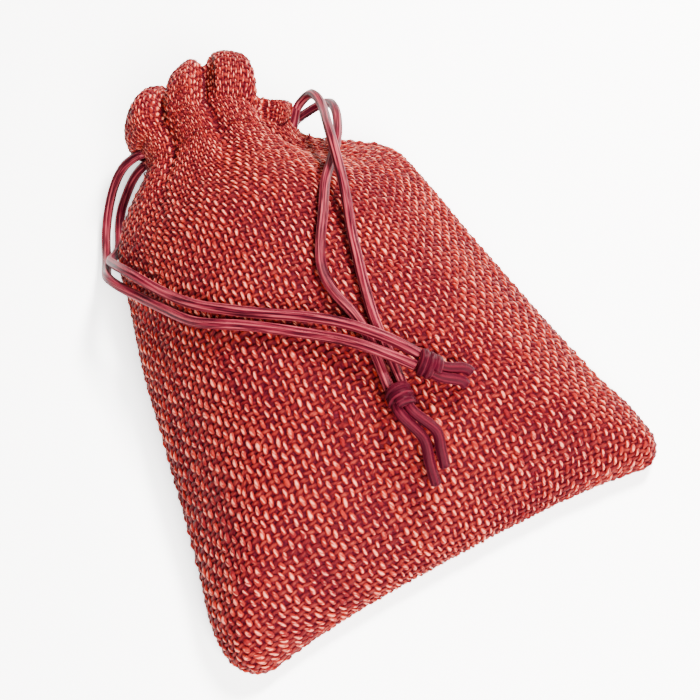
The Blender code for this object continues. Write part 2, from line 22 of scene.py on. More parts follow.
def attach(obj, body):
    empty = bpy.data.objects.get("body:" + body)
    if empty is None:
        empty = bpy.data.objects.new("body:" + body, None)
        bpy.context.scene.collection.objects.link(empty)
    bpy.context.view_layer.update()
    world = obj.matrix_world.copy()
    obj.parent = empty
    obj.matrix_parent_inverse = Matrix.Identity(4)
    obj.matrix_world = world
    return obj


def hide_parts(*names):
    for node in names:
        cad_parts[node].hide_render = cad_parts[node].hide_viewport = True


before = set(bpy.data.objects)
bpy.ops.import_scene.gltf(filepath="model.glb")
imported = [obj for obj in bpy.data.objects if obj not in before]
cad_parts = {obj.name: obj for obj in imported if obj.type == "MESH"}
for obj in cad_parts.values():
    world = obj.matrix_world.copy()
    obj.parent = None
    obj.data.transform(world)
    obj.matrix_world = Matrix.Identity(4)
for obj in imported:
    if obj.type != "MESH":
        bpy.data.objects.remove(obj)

Array = np.ndarray
Point = tuple[float, float, float]
Colour = tuple[float, float, float, float]

log = logging.getLogger("pouch")

BODY = "root"
# The middle of the pouch's bottom edge, from which its own lengths are measured, in the frame
SHIFT = np.array((0.000804, -0.062516, 0.0))
TINY = 1e-9
# The least height of a yarn above the table
LEAST_HEIGHT = 0.00003
# Where the points of a half-round strip lie about its middle, in degrees from its crown
YARN_ANGLES = (-104.0, -54.0, 0.0, 54.0, 104.0)
THREAD_ANGLES = (-100.0, -50.0, 0.0, 50.0, 100.0)


class Slot(Enum):
    """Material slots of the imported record."""

    CLOTH = "jute_cloth"
    CORD = "rose_cord"


class Face(Enum):
    """The two halves of the cloth, as the share round the pouch where each begins."""

    FRONT = 0.0
    BACK = 0.5


class YarnSet(Enum):
    """The two sets of yarns of a plain weave."""

    WARP = "warp"
    WEFT = "weft"


class Station(IntEnum):
    """What the columns of the body's stations hold, after the share of its length."""

    HALF = 1
    SIDE = 2
    EDGE = 3
    RISE = 4


class Pleat(IntEnum):
    """What the columns of the pleats hold, after the share round the neck."""

    HEIGHT = 1
    LENGTH = 2
    BEND = 3
    PUFF = 4
    DIP = 5


# Shader expressions


class Expression:
    """One shader value whose operators add the Math nodes that work them out."""

    def __init__(self, graph: "Graph", socket: bpy.types.NodeSocket) -> None:
        """Wrap one output socket of a graph."""
        self.graph = graph
        self.socket = socket

    def _math(self, operation: str, first: Any, second: Any) -> "Expression":
        """Add one Math node and give its result."""
        return self.graph.add("ShaderNodeMath", {"operation": operation}, {0: first, 1: second})[0]

    def __add__(self, other: Any) -> "Expression":
        """Add a value."""
        return self._math("ADD", self, other)

    __radd__ = __add__

    def __sub__(self, other: Any) -> "Expression":
        """Take a value away."""
        return self._math("SUBTRACT", self, other)

    def __rsub__(self, other: Any) -> "Expression":
        """Take this away from a value."""
        return self._math("SUBTRACT", other, self)

    def __mul__(self, other: Any) -> "Expression":
        """Multiply by a value."""
        return self._math("MULTIPLY", self, other)

    __rmul__ = __mul__

    def __truediv__(self, other: Any) -> "Expression":
        """Divide by a value."""
        return self._math("DIVIDE", self, other)

    def __rtruediv__(self, other: Any) -> "Expression":
        """Divide a value by this."""
        return self._math("DIVIDE", other, self)


class Graph:
    """The node tree of one material, ending in a Principled shader."""

    def __init__(self, name: str) -> None:
        """Start a material with its Principled shader."""
        self.material = bpy.data.materials.new(name)
        self.material.use_nodes = True
        self.tree = self.material.node_tree
        self.shader = self.tree.nodes["Principled BSDF"]

    def add(
        self, kind: str, settings: dict[str, Any], sockets: dict[int | str, Any]
    ) -> list[Expression]:
        """Add one node.

        Args:
            kind: The node's type.
            settings: Properties that are set first.
            sockets: Values or expressions by input name, identifier or number.

        Returns:
            The node's enabled outputs, in order.
        """
        node = self.tree.nodes.new(kind)
        for name, value in settings.items():
            setattr(node, name, value)
        for key, value in sockets.items():
            self._feed(self._find(node, key), value)
        return [Expression(self, output) for output in node.outputs if output.enabled]

    @staticmethod
    def _find(node: bpy.types.Node, key: int | str) -> bpy.types.NodeSocket:
        """Find an input by number, identifier or name."""
        if isinstance(key, int):
            return node.inputs[key]
        for socket in node.inputs:
            if socket.identifier == key:
                return socket
        return node.inputs[key]

    def _feed(self, socket: bpy.types.NodeSocket, value: Any) -> None:
        """Link an expression to a socket, or set its value."""
        if isinstance(value, Expression):
            self.tree.links.new(value.socket, socket)
        else:
            socket.default_value = value

    def set(self, **values: Any) -> None:
        """Feed the shader's sockets, named with underscores for spaces."""
        for name, value in values.items():
            self._feed(self.shader.inputs[name.replace("_", " ")], value)

    def attribute(self, name: str) -> tuple[Expression, Expression, Expression]:
        """Read a vector attribute of the mesh as three values."""
        vector = self.add("ShaderNodeAttribute", {"attribute_name": name}, {})[1]
        x, y, z = self.add("ShaderNodeSeparateXYZ", {}, {0: vector})
        return x, y, z

    def vector(self, x: Any, y: Any, z: Any) -> Expression:
        """Join three values into a vector."""
        return self.add("ShaderNodeCombineXYZ", {}, {0: x, 1: y, 2: z})[0]

    def place(self) -> Expression:
        """Give the point on the pouch, in metres."""
        return self.add("ShaderNodeTexCoord", {}, {})[3]

    def noise(self, vector: Expression, scale: float, detail: float = 2.0) -> Expression:
        """Give smooth noise, mostly from 0.25 to 0.75, at a scale in cells per metre."""
        sockets = {"Vector": vector, "Scale": scale, "Detail": detail}
        return self.add("ShaderNodeTexNoise", {}, sockets)[0]

    def ramp(self, value: Any, low: float, high: float) -> Expression:
        """Rise smoothly from 0 to 1 between two values."""
        settings = {"interpolation_type": "SMOOTHSTEP"}
        sockets = {"Value": value, "From Min": low, "From Max": high}
        return self.add("ShaderNodeMapRange", settings, sockets)[0]

    def mix(self, factor: Any, first: Any, second: Any) -> Expression:
        """Mix two colours."""
        settings = {"data_type": "RGBA", "clamp_factor": True}
        sockets = {"Factor_Float": factor, "A_Color": first, "B_Color": second}
        return self.add("ShaderNodeMix", settings, sockets)[0]

    def bump(self, height: Expression, strength: float, depth: float) -> Expression:
        """Turn a height from 0 to 1 into a normal."""
        return self.add(
            "ShaderNodeBump", {}, {"Height": height, "Strength": strength, "Distance": depth}
        )[0]


# Finishes


@dataclass(frozen=True)
class JuteFinish:
    """Dyed jute yarn: twisted fibres and a red that differs at random, with painted shade in dark red
    low down, on a yarn's sides and over the wefts, and a painted highlight along the crown of a float.
    """

    name: str
    # The colour of the painted shade low down in the weave.
    painted_shade_red: Colour = (0.024, 0.001, 0.003, 1.0)
    red: Colour = (0.070, 0.002, 0.004, 1.0)
    warm: Colour = (0.135, 0.006, 0.004, 1.0)
    # The colour of the painted highlight along the crown of a float.
    pale: Colour = (0.430, 0.125, 0.085, 1.0)
    roughness: float = 0.55
    fibre_pitch: float = 0.00026
    fibre_length: float = 0.0016
    twist: float = 0.45
    patch_pitch: float = 0.018
    fleck_pitch: float = 0.0011

    def material(self) -> bpy.types.Material:
        """Make the finish as a material that reads the yarns' own attributes."""
        graph = Graph(self.name)
        along, across, tone = graph.attribute("yarn")
        lift, half_width, warp = graph.attribute("lie")
        slant = across * half_width + along * self.twist
        run = graph.vector(slant / self.fibre_pitch, along / self.fibre_length, tone * 40)
        fibres = graph.noise(run, 1.0, 2.0)
        patches = graph.noise(graph.place(), 1 / self.patch_pitch, 3.0)
        flecks = graph.noise(graph.place(), 1 / self.fleck_pitch, 1.0)
        warmth = graph.ramp(patches * 0.8 + tone * 0.4 + fibres * 0.2, 0.42, 0.86)
        body = graph.mix(warmth, self.red, self.warm)
        # Painted highlight: a light streak along the crown of each float, mostly on the warps, broken
        # up into fibre streaks.
        crown = graph.ramp(lift * 0.5 + 0.5 - across * across * 1.60, 0.25, 0.90)
        glint_streaks = graph.ramp(fibres * 0.8 + flecks * 0.3 + warmth * 0.05, 0.53, 0.65)
        glint = crown * glint_streaks * (warp * 0.92 + 0.08)
        lit = graph.mix(glint, body, self.pale)
        # Painted shade: darker where a yarn dips under, on its sides and over the wefts, broken up by
        # random fibres and flecks.
        high = lift * (warp * 0.22 + 0.20) + warp * 0.32 + 0.20 - across * across * 0.45
        depth = graph.ramp(high + fibres * 0.45 + flecks * 0.45, 0.42, 1.12)
        graph.set(
            Base_Color=graph.mix(depth, self.painted_shade_red, lit),
            Roughness=self.roughness + (fibres - 0.5) * 0.3,
            Specular_IOR_Level=0.05,
            Specular_Tint=(1.0, 0.40, 0.30, 1.0),
            Normal=graph.bump(fibres, 0.9, 0.00030),
        )
        return graph.material


@dataclass(frozen=True)
class GroundFinish:
    """The inside of the weave: yarn backs and gaps in a plain-weave relief, in painted shade that is
    darkest between the yarns.
    """

    name: str
    # The colour of the painted shade between the yarns.
    gap_shade: Colour = (0.026, 0.001, 0.004, 1.0)
    yarn: Colour = (0.060, 0.002, 0.005, 1.0)
    roughness: float = 0.75

    def material(self) -> bpy.types.Material:
        """Make the finish as a material that reads the weave's own coordinates."""
        graph = Graph(self.name)
        warp, weft, _ = graph.attribute("weave")
        waves = []
        for number in (warp, weft):
            waves.append(graph.add("ShaderNodeMath", {"operation": "SINE"}, {0: number * pi})[0])
        crossing = waves[0] * waves[1]
        relief = graph.ramp(crossing, -0.8, 0.8)
        fibres = graph.noise(graph.vector(warp * 6, weft * 1.5, 0.0), 1.0, 2.0)
        # Painted shade: darkest along the lines between the yarns.
        edge = graph.ramp(waves[0] * waves[0] * waves[1] * waves[1] + fibres * 0.2, 0.05, 0.55)
        graph.set(
            Base_Color=graph.mix(edge, self.gap_shade, self.yarn),
            Roughness=self.roughness,
            Specular_IOR_Level=0.03,
            Normal=graph.bump(relief * 0.7 + fibres * 0.3, 0.8, 0.0004),
        )
        return graph.material


@dataclass(frozen=True)
class CordFinish:
    """Smooth rose-coloured satin cord with fine lengthwise threads, and a painted highlight along its
    ridges and threads.
    """

    name: str
    plum: Colour = (0.014, 0.001, 0.003, 1.0)
    rose: Colour = (0.066, 0.004, 0.010, 1.0)
    # The colour of the painted highlight.
    painted_gloss: Colour = (0.220, 0.034, 0.042, 1.0)
    roughness: float = 0.42
    thread_pitch: float = 0.00030
    thread_length: float = 0.009

    def material(self) -> bpy.types.Material:
        """Make the finish as a material that reads the cord's own attributes."""
        graph = Graph(self.name)
        along, around, tone = graph.attribute("yarn")
        ridge, girth, _ = graph.attribute("lie")
        turn = around * girth / self.thread_pitch
        run = graph.vector(turn, along / self.thread_length, tone * 30)
        threads = graph.noise(run, 1.0, 3.0)
        patches = graph.noise(graph.place(), 180.0, 2.0)
        body = graph.mix(graph.ramp(threads * 0.8 + patches * 0.3, 0.46, 0.64), self.plum, self.rose)
        # Painted highlight: a light streak along the cord's ridges and threads.
        shine = graph.ramp(ridge * 0.25 + threads * 0.9, 0.54, 0.80)
        graph.set(
            Base_Color=graph.mix(shine * 0.7, body, self.painted_gloss),
            Roughness=self.roughness + (threads - 0.5) * 0.25,
            Specular_IOR_Level=0.04,
            Specular_Tint=(1.0, 0.30, 0.35, 1.0),
            Normal=graph.bump(threads, 0.6, 0.00016),
        )
        return graph.material


# A darker copy of the satin cord for the knots and tails: painted shade.
SHADED_CORD = CordFinish(
    "handled_cord", rose=(0.022, 0.001, 0.004, 1.0), painted_gloss=(0.060, 0.005, 0.010, 1.0)
)


@dataclass(frozen=True)
class FloorFinish:
    """The plain pale sweep that the pouch lies on, lit a little from within."""

    name: str
    white: Colour = (0.90, 0.90, 0.91, 1.0)
    glow: float = 1.10

    def material(self) -> bpy.types.Material:
        """Make the matt white finish."""
        graph = Graph(self.name)
        cloudy = graph.noise(graph.place(), 9.0, 2.0)
        off_white = tuple(0.985 * part for part in self.white[:3]) + (1.0,)
        graph.set(
            Base_Color=graph.mix(cloudy, off_white, self.white),
            Roughness=0.8,
            Emission_Color=(0.97, 0.98, 1.0, 1.0),
            Emission_Strength=self.glow,
        )
        return graph.material


# Curves and meshes


def smooth_step(value: Array) -> Array:
    """Rise from 0 to 1 with flat ends."""
    share = np.clip(value, 0.0, 1.0)
    return share * share * (3.0 - 2.0 * share)


def through_points(places: Sequence[float], values: Sequence[float], wanted: Array) -> Array:
    """Read a smooth curve, free of overshoot, through given points.

    Args:
        places: Where the points stand, rising.
        values: Their values.
        wanted: Where to read the curve.

    Returns:
        The curve's values at the wanted places.
    """
    places = np.asarray(places, float)
    values = np.asarray(values, float)
    steps = np.diff(places)
    rates = np.diff(values) / steps
    slopes = np.empty(len(values))
    slopes[0] = rates[0]
    slopes[-1] = rates[-1]
    mean = (rates[:-1] + rates[1:]) / 2
    least = 2 * np.minimum(np.abs(rates[:-1]), np.abs(rates[1:]))
    held = np.sign(mean) * np.minimum(np.abs(mean), least)
    slopes[1:-1] = np.where(rates[:-1] * rates[1:] > 0, held, 0.0)
    index = np.clip(np.searchsorted(places, wanted, side="right") - 1, 0, len(steps) - 1)
    share = (wanted - places[index]) / steps[index]
    step = steps[index]
    return (
        values[index] * (1 + 2 * share) * (1 - share) ** 2
        + slopes[index] * step * share * (1 - share) ** 2
        + values[index + 1] * share**2 * (3 - 2 * share)
        + slopes[index + 1] * step * share**2 * (share - 1)
    )


def equal_steps(points: Array, count: int) -> Array:
    """Place count + 1 points at equal distances along a line of points."""
    lengths = np.linalg.norm(np.diff(points, axis=0), axis=1)
    along = np.concatenate([[0.0], np.cumsum(lengths)])
    wanted = np.linspace(0.0, along[-1], count + 1)
    return np.stack([np.interp(wanted, along, points[:, axis]) for axis in range(3)], axis=1)


def smooth_route(points: Sequence[Point], pitch: float) -> Array:
    """Read a smooth curve through a route's own points.

    Args:
        points: The route's points, as given.
        pitch: About how far apart the curve's points are to be.

    Returns:
        The curve's points, at equal steps.
    """
    line = np.array(points, float)
    ends = np.vstack([2 * line[0] - line[1], line, 2 * line[-1] - line[-2]])
    share = np.linspace(0.0, 1.0, 24, endpoint=False)[:, None]
    fine = []
    for before, start, end, after in zip(ends, ends[1:], ends[2:], ends[3:]):
        fine.append(0.5 * (
            2 * start
            + (end - before) * share
            + (2 * before - 5 * start + 4 * end - after) * share**2
            + (3 * start - before - 3 * end + after) * share**3
        ))
    fine = np.vstack([*fine, line[-1:]])
    length = np.linalg.norm(np.diff(fine, axis=0), axis=1).sum()
    return equal_steps(fine, max(2, round(length / pitch)))


def from_channel(route: Sequence[Point], channel: float) -> tuple[Point, ...]:
    """Place a route whose Y is measured from the middle of the draw channel."""
    return tuple((x, channel + along, z) for x, along, z in route)


def unit(vectors: Array) -> Array:
    """Scale vectors to length 1."""
    return vectors / np.maximum(np.linalg.norm(vectors, axis=-1, keepdims=True), TINY)


def soft_least(softness: float, *distances: Array) -> Array:
    """Take about the least of some distances, without a crease where they meet.

    Args:
        softness: How sharply the least takes over. More is sharper.
        distances: The distances, none of them below zero.

    Returns:
        The soft least of them.
    """
    total = sum(np.maximum(distance, TINY) ** -softness for distance in distances)
    return total ** (-1.0 / softness)


def patch_mesh(
    name: str,
    patches: Array,
    closed: bool,
    attributes: dict[str, Array],
    keep: Array | None = None,
) -> bpy.types.Object:
    """Make one mesh of several patches, each a grid of points.

    Args:
        name: The object's name.
        patches: Points as (patch, row, column, 3).
        closed: Whether each row closes on itself.
        attributes: Vector attributes of the points, as (patch, row, column, 3).
        keep: Which quads to keep, as (patch, row, column).

    Returns:
        The object, shaded smooth, with a UV map that lays the patches side by side.
    """
    count, rows, columns = patches.shape[:3]
    spans = columns if closed else columns - 1
    patch, row, span = np.meshgrid(
        np.arange(count), np.arange(rows - 1), np.arange(spans), indexing="ij"
    )
    following = (span + 1) % columns

    def number(at_row: Array, at_column: Array) -> Array:
        """Give the number of the point at a row and column of each patch."""
        return (patch * rows + at_row) * columns + at_column

    corners = np.stack([
        number(row, span), number(row, following),
        number(row + 1, following), number(row + 1, span),
    ], axis=-1)
    along = np.linspace(0.0, 1.0, rows)
    width = 1.0 / count
    left = (patch + 0.04 + 0.92 * span / spans) * width
    right = (patch + 0.04 + 0.92 * (span + 1) / spans) * width
    low = 0.002 + 0.996 * along[row]
    high = 0.002 + 0.996 * along[row + 1]
    unwrap = np.stack([
        np.stack([left, low], -1), np.stack([right, low], -1),
        np.stack([right, high], -1), np.stack([left, high], -1),
    ], axis=-2)
    chosen = np.ones(corners.shape[:3], bool) if keep is None else keep
    corners = corners[chosen]
    unwrap = unwrap[chosen]
    used, numbers = np.unique(corners, return_inverse=True)
    mesh = bpy.data.meshes.new(name)
    mesh.vertices.add(len(used))
    mesh.vertices.foreach_set("co", (patches.reshape(-1, 3)[used] + SHIFT).ravel())
    mesh.loops.add(corners.size)
    mesh.loops.foreach_set("vertex_index", numbers.ravel().astype(np.int32))
    mesh.polygons.add(len(corners))
    mesh.polygons.foreach_set("loop_start", np.arange(0, corners.size, 4, dtype=np.int32))
    mesh.update(calc_edges=True)
    mesh.uv_layers.new(name="unwrap").data.foreach_set("uv", unwrap.ravel())
    for label, values in attributes.items():
        layer = mesh.attributes.new(label, "FLOAT_VECTOR", "POINT")
        layer.data.foreach_set("vector", values.reshape(-1, 3)[used].ravel())
    mesh.shade_smooth()
    mesh.validate()
    thing = bpy.data.objects.new(name, mesh)
    bpy.context.scene.collection.objects.link(thing)
    return thing


def carried_along(tangent: Array) -> Array:
    """Carry a direction across a route along it, without twist.

    Args:
        tangent: The route's unit directions.

    Returns:
        A unit vector across the route at each of them.
    """
    across = np.empty_like(tangent)
    current = np.array([0.0, 0.0, 1.0]) if abs(tangent[0, 2]) < 0.9 else np.array([1.0, 0.0, 0.0])
    for i, direction in enumerate(tangent):
        current = current - direction * (current @ direction)
        current = current / np.linalg.norm(current)
        across[i] = current
    return across


def half_round(
    core: Array,
    across: Array,
    up: Array,
    halves: tuple[Array | float, Array | float],
    degrees: Sequence[float],
) -> Array:
    """Give the points of rounded strips about their centre lines.

    Args:
        core: The centre lines.
        across: Unit vectors across the strips.
        up: Unit vectors out of them.
        halves: Half the width and half the thickness, along the lines.
        degrees: Where the points lie about the line, from its crown.

    Returns:
        The points, held above the table, with those about one point on an axis of their own.
    """
    angles = np.radians(degrees)[:, None]
    width, thickness = (np.asarray(half)[..., None, None] for half in halves)
    points = (
        core[..., None, :]
        + across[..., None, :] * (np.sin(angles) * width)
        + up[..., None, :] * (np.cos(angles) * thickness)
    )
    points[..., 2] = np.maximum(points[..., 2], LEAST_HEIGHT)
    return points


def join(name: str, things: Sequence[bpy.types.Object]) -> bpy.types.Object:
    """Join mesh objects into one, keeping their attributes, and name it."""
    with bpy.context.temp_override(active_object=things[0], selected_editable_objects=list(things)):
        bpy.ops.object.join()
    things[0].name = name
    things[0].data.name = name
    return things[0]


# The pouch's form


@dataclass
class PouchForm:
    """The shape of the cloth's outer face, and the layers under it."""

    cloth: float = 0.0007
    layer_gap: float = 0.0003
    cord_diameter: float = 0.0022
    channel_clearance: float = 0.0005
    body_length: float = 0.1085
    bottom_width: float = 0.0990
    corner_radius: float = 0.0070
    corner_drop: float = 0.0026
    edge_radius: float = 0.0018
    rise: float = 0.0205
    left_slope: float = 0.031
    right_slope: float = 0.045
    bottom_slope: float = 0.040
    lift_reach: float = 0.016
    table_blend: float = 0.0006
    ridge_softness: float = 3.0
    neck_width: float = 0.0330
    neck_height: float = 0.0200
    neck_tilt: float = 0.07
    shoulder: float = 0.76
    header_length: float = 0.0180
    header_lean: float = 22.0
    header_swelling: float = 0.50
    lining_gather: float = 0.45
    hem_allowance: float = 0.0014
    pleats_start: float = 0.80
    dip_start: float = 0.64
    dip_fall: float = 0.6
    columns: int = 360
    profile_samples: int = 480
    row_pitch: float = 0.0016
    header_rows: int = 16
    fold_rows: int = 7
    lining_rows: int = 12
    # Share of the body length, half width share, shift, edge height and rise share
    stations: tuple[tuple[float, ...], ...] = (
        (0.00, 1.000, 0.0000, 0.0026, 1.00),
        (0.11, 0.985, -0.0013, 0.0038, 1.00),
        (0.20, 0.935, -0.0017, 0.0048, 1.00),
        (0.39, 0.860, -0.0017, 0.0060, 1.00),
        (0.54, 0.812, -0.0017, 0.0066, 0.99),
        (0.66, 0.772, -0.0012, 0.0072, 0.95),
        (0.76, 0.732, -0.0008, 0.0082, 0.88),
        (0.84, 0.708, -0.0008, 0.0092, 0.80),
        (0.92, 0.665, -0.0013, 0.0104, 0.70),
        (1.00, 0.375, -0.0015, 0.0117, 0.55),
    )
    # Share round, pleat height, header length share, outward bend and puff in degrees, and
    # how far the neck sinks there
    pleats: tuple[tuple[float, ...], ...] = (
        (0.010, 0.0026, 0.86, -30.0, 36.0, 0.0000),
        (0.062, 0.0028, 0.88, -34.0, 34.0, 0.0000),
        (0.110, 0.0000, 0.44, -10.0, -14.0, 0.0000),
        (0.148, 0.0020, 0.78, -24.0, 20.0, 0.0000),
        (0.192, 0.0024, 0.84, -26.0, 18.0, 0.0000),
        (0.230, 0.0000, 0.66, -10.0, -30.0, 0.0000),
        (0.268, 0.0024, 0.84, -24.0, 18.0, 0.0005),
        (0.312, 0.0028, 0.82, -20.0, 22.0, 0.0022),
        (0.352, 0.0000, 0.36, 0.0, 0.0, 0.0054),
        (0.400, 0.0018, 0.36, -10.0, 58.0, 0.0072),
        (0.455, 0.0012, 0.26, -10.0, 44.0, 0.0050),
        (0.505, 0.0000, 0.20, 0.0, 10.0, 0.0014),
        (0.600, 0.0008, 0.36, -4.0, 6.0, 0.0000),
        (0.655, 0.0000, 0.50, -8.0, 4.0, 0.0000),
        (0.715, 0.0014, 0.64, -8.0, 14.0, 0.0000),
        (0.775, 0.0000, 0.58, -8.0, 4.0, 0.0000),
        (0.835, 0.0014, 0.68, -8.0, 14.0, 0.0000),
        (0.895, 0.0000, 0.52, -8.0, 4.0, 0.0000),
        (0.955, 0.0016, 0.72, -20.0, 30.0, 0.0000),
    )
    heights: Array = field(init=False)
    rings: Array = field(init=False)
    normals: Array = field(init=False)
    pleat_heights: Array = field(init=False)

    def __post_init__(self) -> None:
        """Work out the outer face as rings, with its normals and pleats."""
        rounding = [share * self.edge_radius for share in (0.0, 0.1, 0.3, 0.6, 1.0, 1.5, 2.0)]
        self.lane_pitch = self.cord_diameter + 0.0005
        self.channel_height = 2 * self.lane_pitch
        self.header_base = self.body_length + self.channel_height / 2 + self.layer_gap
        rest = self.header_base - rounding[-1]
        count = round(rest / self.row_pitch)
        heights = rounding + [rounding[-1] + rest * (i + 1) / count for i in range(count)]
        rings = [self.ring(height) for height in heights]
        base = rings[-1]
        sideways = np.roll(base, -1, axis=0) - np.roll(base, 1, axis=0)
        outward = unit(np.cross(sideways, np.array([0.0, 1.0, 0.0])))
        shares = [(i + 1) / self.header_rows for i in range(self.header_rows)]
        header, header_normals = self.header_rings(base, outward, shares)
        rings += header
        heights += [self.header_base + share * self.header_length for share in shares]
        self.heights = np.array(heights)
        self.rings = np.array(rings)
        self.normals = self.outward_normals(self.rings)
        self.normals[-self.header_rows :] = header_normals
        pleats = self.round_the_neck(Pleat.HEIGHT)
        fade = np.array([self.share_past(height, self.pleats_start) for height in self.heights])
        in_header = np.clip((self.heights - self.header_base) / self.header_length, 0.0, 1.0)
        fade *= 1 + self.header_swelling * np.sin(pi * in_header)
        down = np.maximum(-self.normals[:, :, 2], TINY)
        room = np.maximum(self.rings[:, :, 2], 0.0) / down
        self.pleat_heights = np.minimum(pleats[None, :] * fade[:, None], room)

    def at_station(self, height: float, column: Station) -> float:
        """Read one column of the stations at a height along the body."""
        places = [station[0] for station in self.stations]
        values = [station[column] for station in self.stations]
        return float(through_points(places, values, np.array(min(height / self.body_length, 1.0))))

    def round_the_neck(self, column: Pleat) -> Array:
        """Read one column of the pleats round the neck, closing smoothly on itself."""
        places = [pleat[0] for pleat in self.pleats]
        values = [pleat[column] for pleat in self.pleats]
        places = [p - 1 for p in places[-2:]] + places + [p + 1 for p in places[:2]]
        values = np.array(values[-2:] + values + values[:2])
        squares = np.sign(values) * np.square(values)
        rounded = through_points(places, squares, np.arange(self.columns) / self.columns)
        return np.sign(rounded) * np.sqrt(np.abs(rounded))

    def body_section(self, height: float, front: bool) -> Array:
        """Give half of the filled body's section.

        Args:
            height: The distance up the body.
            front: Whether it is the puffed front or the back on the table.

        Returns:
            The section's points, from left to right.
        """
        half = self.bottom_width / 2 * self.at_station(height, Station.HALF)
        corner = max(self.corner_radius - height, 0.0)
        half -= self.corner_radius - np.sqrt(self.corner_radius**2 - corner**2)
        edge_height = self.at_station(height, Station.EDGE)
        across = -np.cos(np.linspace(0.0, pi, self.profile_samples))
        left = half * (1 + across)
        right = half * (1 - across)
        softness = self.ridge_softness
        inward = soft_least(softness, left, right, np.full_like(left, height))
        share = 1 - np.minimum(inward / self.edge_radius, 1.0)
        rounding = self.edge_radius * np.sqrt(1 - share**2)
        if front:
            slope = soft_least(
                softness, left / self.left_slope, right / self.right_slope,
                np.full_like(left, height / self.bottom_slope),
            )
            fullness = 1 - (1 - np.minimum(slope, 1.0)) ** 2
            z = edge_height + rounding + self.rise * self.at_station(height, Station.RISE) * fullness
        else:
            blend = self.table_blend
            z = edge_height * (1 - np.minimum(inward / self.lift_reach, 1.0)) ** 2 - rounding
            z = np.where(z > blend, z, np.where(z < -blend, 0.0, (z + blend) ** 2 / (4 * blend)))
            z = np.where(inward < 2e-5, edge_height, z)
        fade = 1 - smooth_step(np.array(height / (self.body_length / 2)))
        y = height - self.corner_drop * fade * np.abs(across) ** 3
        return np.stack([self.at_station(height, Station.SIDE) + half * across, y, z], axis=1)

    def neck_section(self, height: float, front: bool) -> Array:
        """Give half of an oval section, as wide as the body is there.

        Args:
            height: The distance up the body.
            front: Whether it is the front or the back.

        Returns:
            The section's points, from left to right.
        """
        half = self.bottom_width / 2 * self.at_station(height, Station.HALF)
        half += (self.neck_width / 2 - half) * self.neck_blend(height)
        turn = np.linspace(0.0, pi, self.profile_samples)
        side = 1.0 if front else -1.0
        x = self.at_station(height, Station.SIDE) - half * np.cos(turn)
        z = self.at_station(height, Station.EDGE) + side * self.neck_height / 2 * np.sin(turn)
        return np.stack([x, np.full_like(x, height), z], axis=1)

    def share_past(self, height: float, start: float) -> float:
        """Rise from 0 at a share of the body's length to 1 at the draw channel."""
        return float(smooth_step(np.array((height / self.body_length - start) / (1 - start))))

    def neck_blend(self, height: float) -> float:
        """Give how far the section has turned from the body's into the neck's."""
        return self.share_past(height, self.shoulder)

    def ring(self, height: float) -> Array:
        """Give one closed ring of the unpleated outer face, starting at the left edge."""
        blend = self.neck_blend(height)
        halves = []
        for front in (True, False):
            body = equal_steps(self.body_section(height, front), self.columns // 2)
            neck = equal_steps(self.neck_section(height, front), self.columns // 2)
            halves.append(body + (neck - body) * blend)
        points = np.concatenate([halves[0][:-1], halves[1][:0:-1]])
        points[:, 1] -= self.neck_tilt * blend * points[:, 0]
        dip = self.round_the_neck(Pleat.DIP)[:, None] * self.share_past(height, self.dip_start)
        points -= dip * np.array([0.0, 1.0, self.dip_fall])
        points[:, 2] = np.maximum(points[:, 2], 0.0)
        return points

    def header_rings(
        self, base: Array, outward: Array, shares: Sequence[float]
    ) -> tuple[list[Array], list[Array]]:
        """Carry the neck's last ring on as the header, each column along its own bent path.

        A column starts outward by its puff, ends inward by it and turns by its bend on the way.

        Args:
            base: The neck's last ring.
            outward: The direction out of the neck at each column.
            shares: How far up the header each ring lies.

        Returns:
            The rings and the outward normals of their paths.
        """
        length = self.header_length * self.round_the_neck(Pleat.LENGTH)
        bend = np.radians(self.round_the_neck(Pleat.BEND))[:, None]
        puff = np.radians(self.round_the_neck(Pleat.PUFF))[:, None]
        lean = radians(self.header_lean)
        axial = np.array([sin(lean), cos(lean), 0.0])
        steps = 28
        rings = []
        normals = []
        for share in shares:
            places = (np.arange(steps) + 0.5) / steps * share
            angles = bend * places + puff * np.cos(pi * places)
            step_length = length[:, None] * share / steps
            forward = (np.cos(angles) * step_length).sum(axis=1)
            out = (np.sin(angles) * step_length).sum(axis=1)
            rings.append(base + forward[:, None] * axial + out[:, None] * outward)
            last = angles[:, -1:]
            normals.append(outward * np.cos(last) - axial * np.sin(last))
        return rings, normals

    @staticmethod
    def outward_normals(grid: Array) -> Array:
        """Give the unit normals of a grid of rings, pointing out of the pouch."""
        around = np.roll(grid, -1, axis=1) - np.roll(grid, 1, axis=1)
        normals = unit(np.cross(around, np.gradient(grid, axis=0)))
        normals[0] = (0.0, -1.0, 0.0)
        return normals

    def row(self, height: float) -> tuple[int, float]:
        """Find the modelled ring below a height, and the share of the way to the next."""
        place = np.interp(height, self.heights, np.arange(len(self.heights)))
        low = min(int(place), len(self.heights) - 2)
        return low, place - low

    def layer(self, height: float, depth: float, gather: float) -> Array:
        """Give one ring of a layer.

        Args:
            height: The distance up the pouch.
            depth: How far the layer lies out of the unpleated outer face.
            gather: The share of the pleats that the layer follows.

        Returns:
            The ring's points.
        """
        low, share = self.row(height)
        points = self.rings[low] * (1 - share) + self.rings[low + 1] * share
        normals = unit(self.normals[low] * (1 - share) + self.normals[low + 1] * share)
        pleats = self.pleat_heights[low] * (1 - share) + self.pleat_heights[low + 1] * share
        return points + normals * (pleats * gather + depth)[:, None]

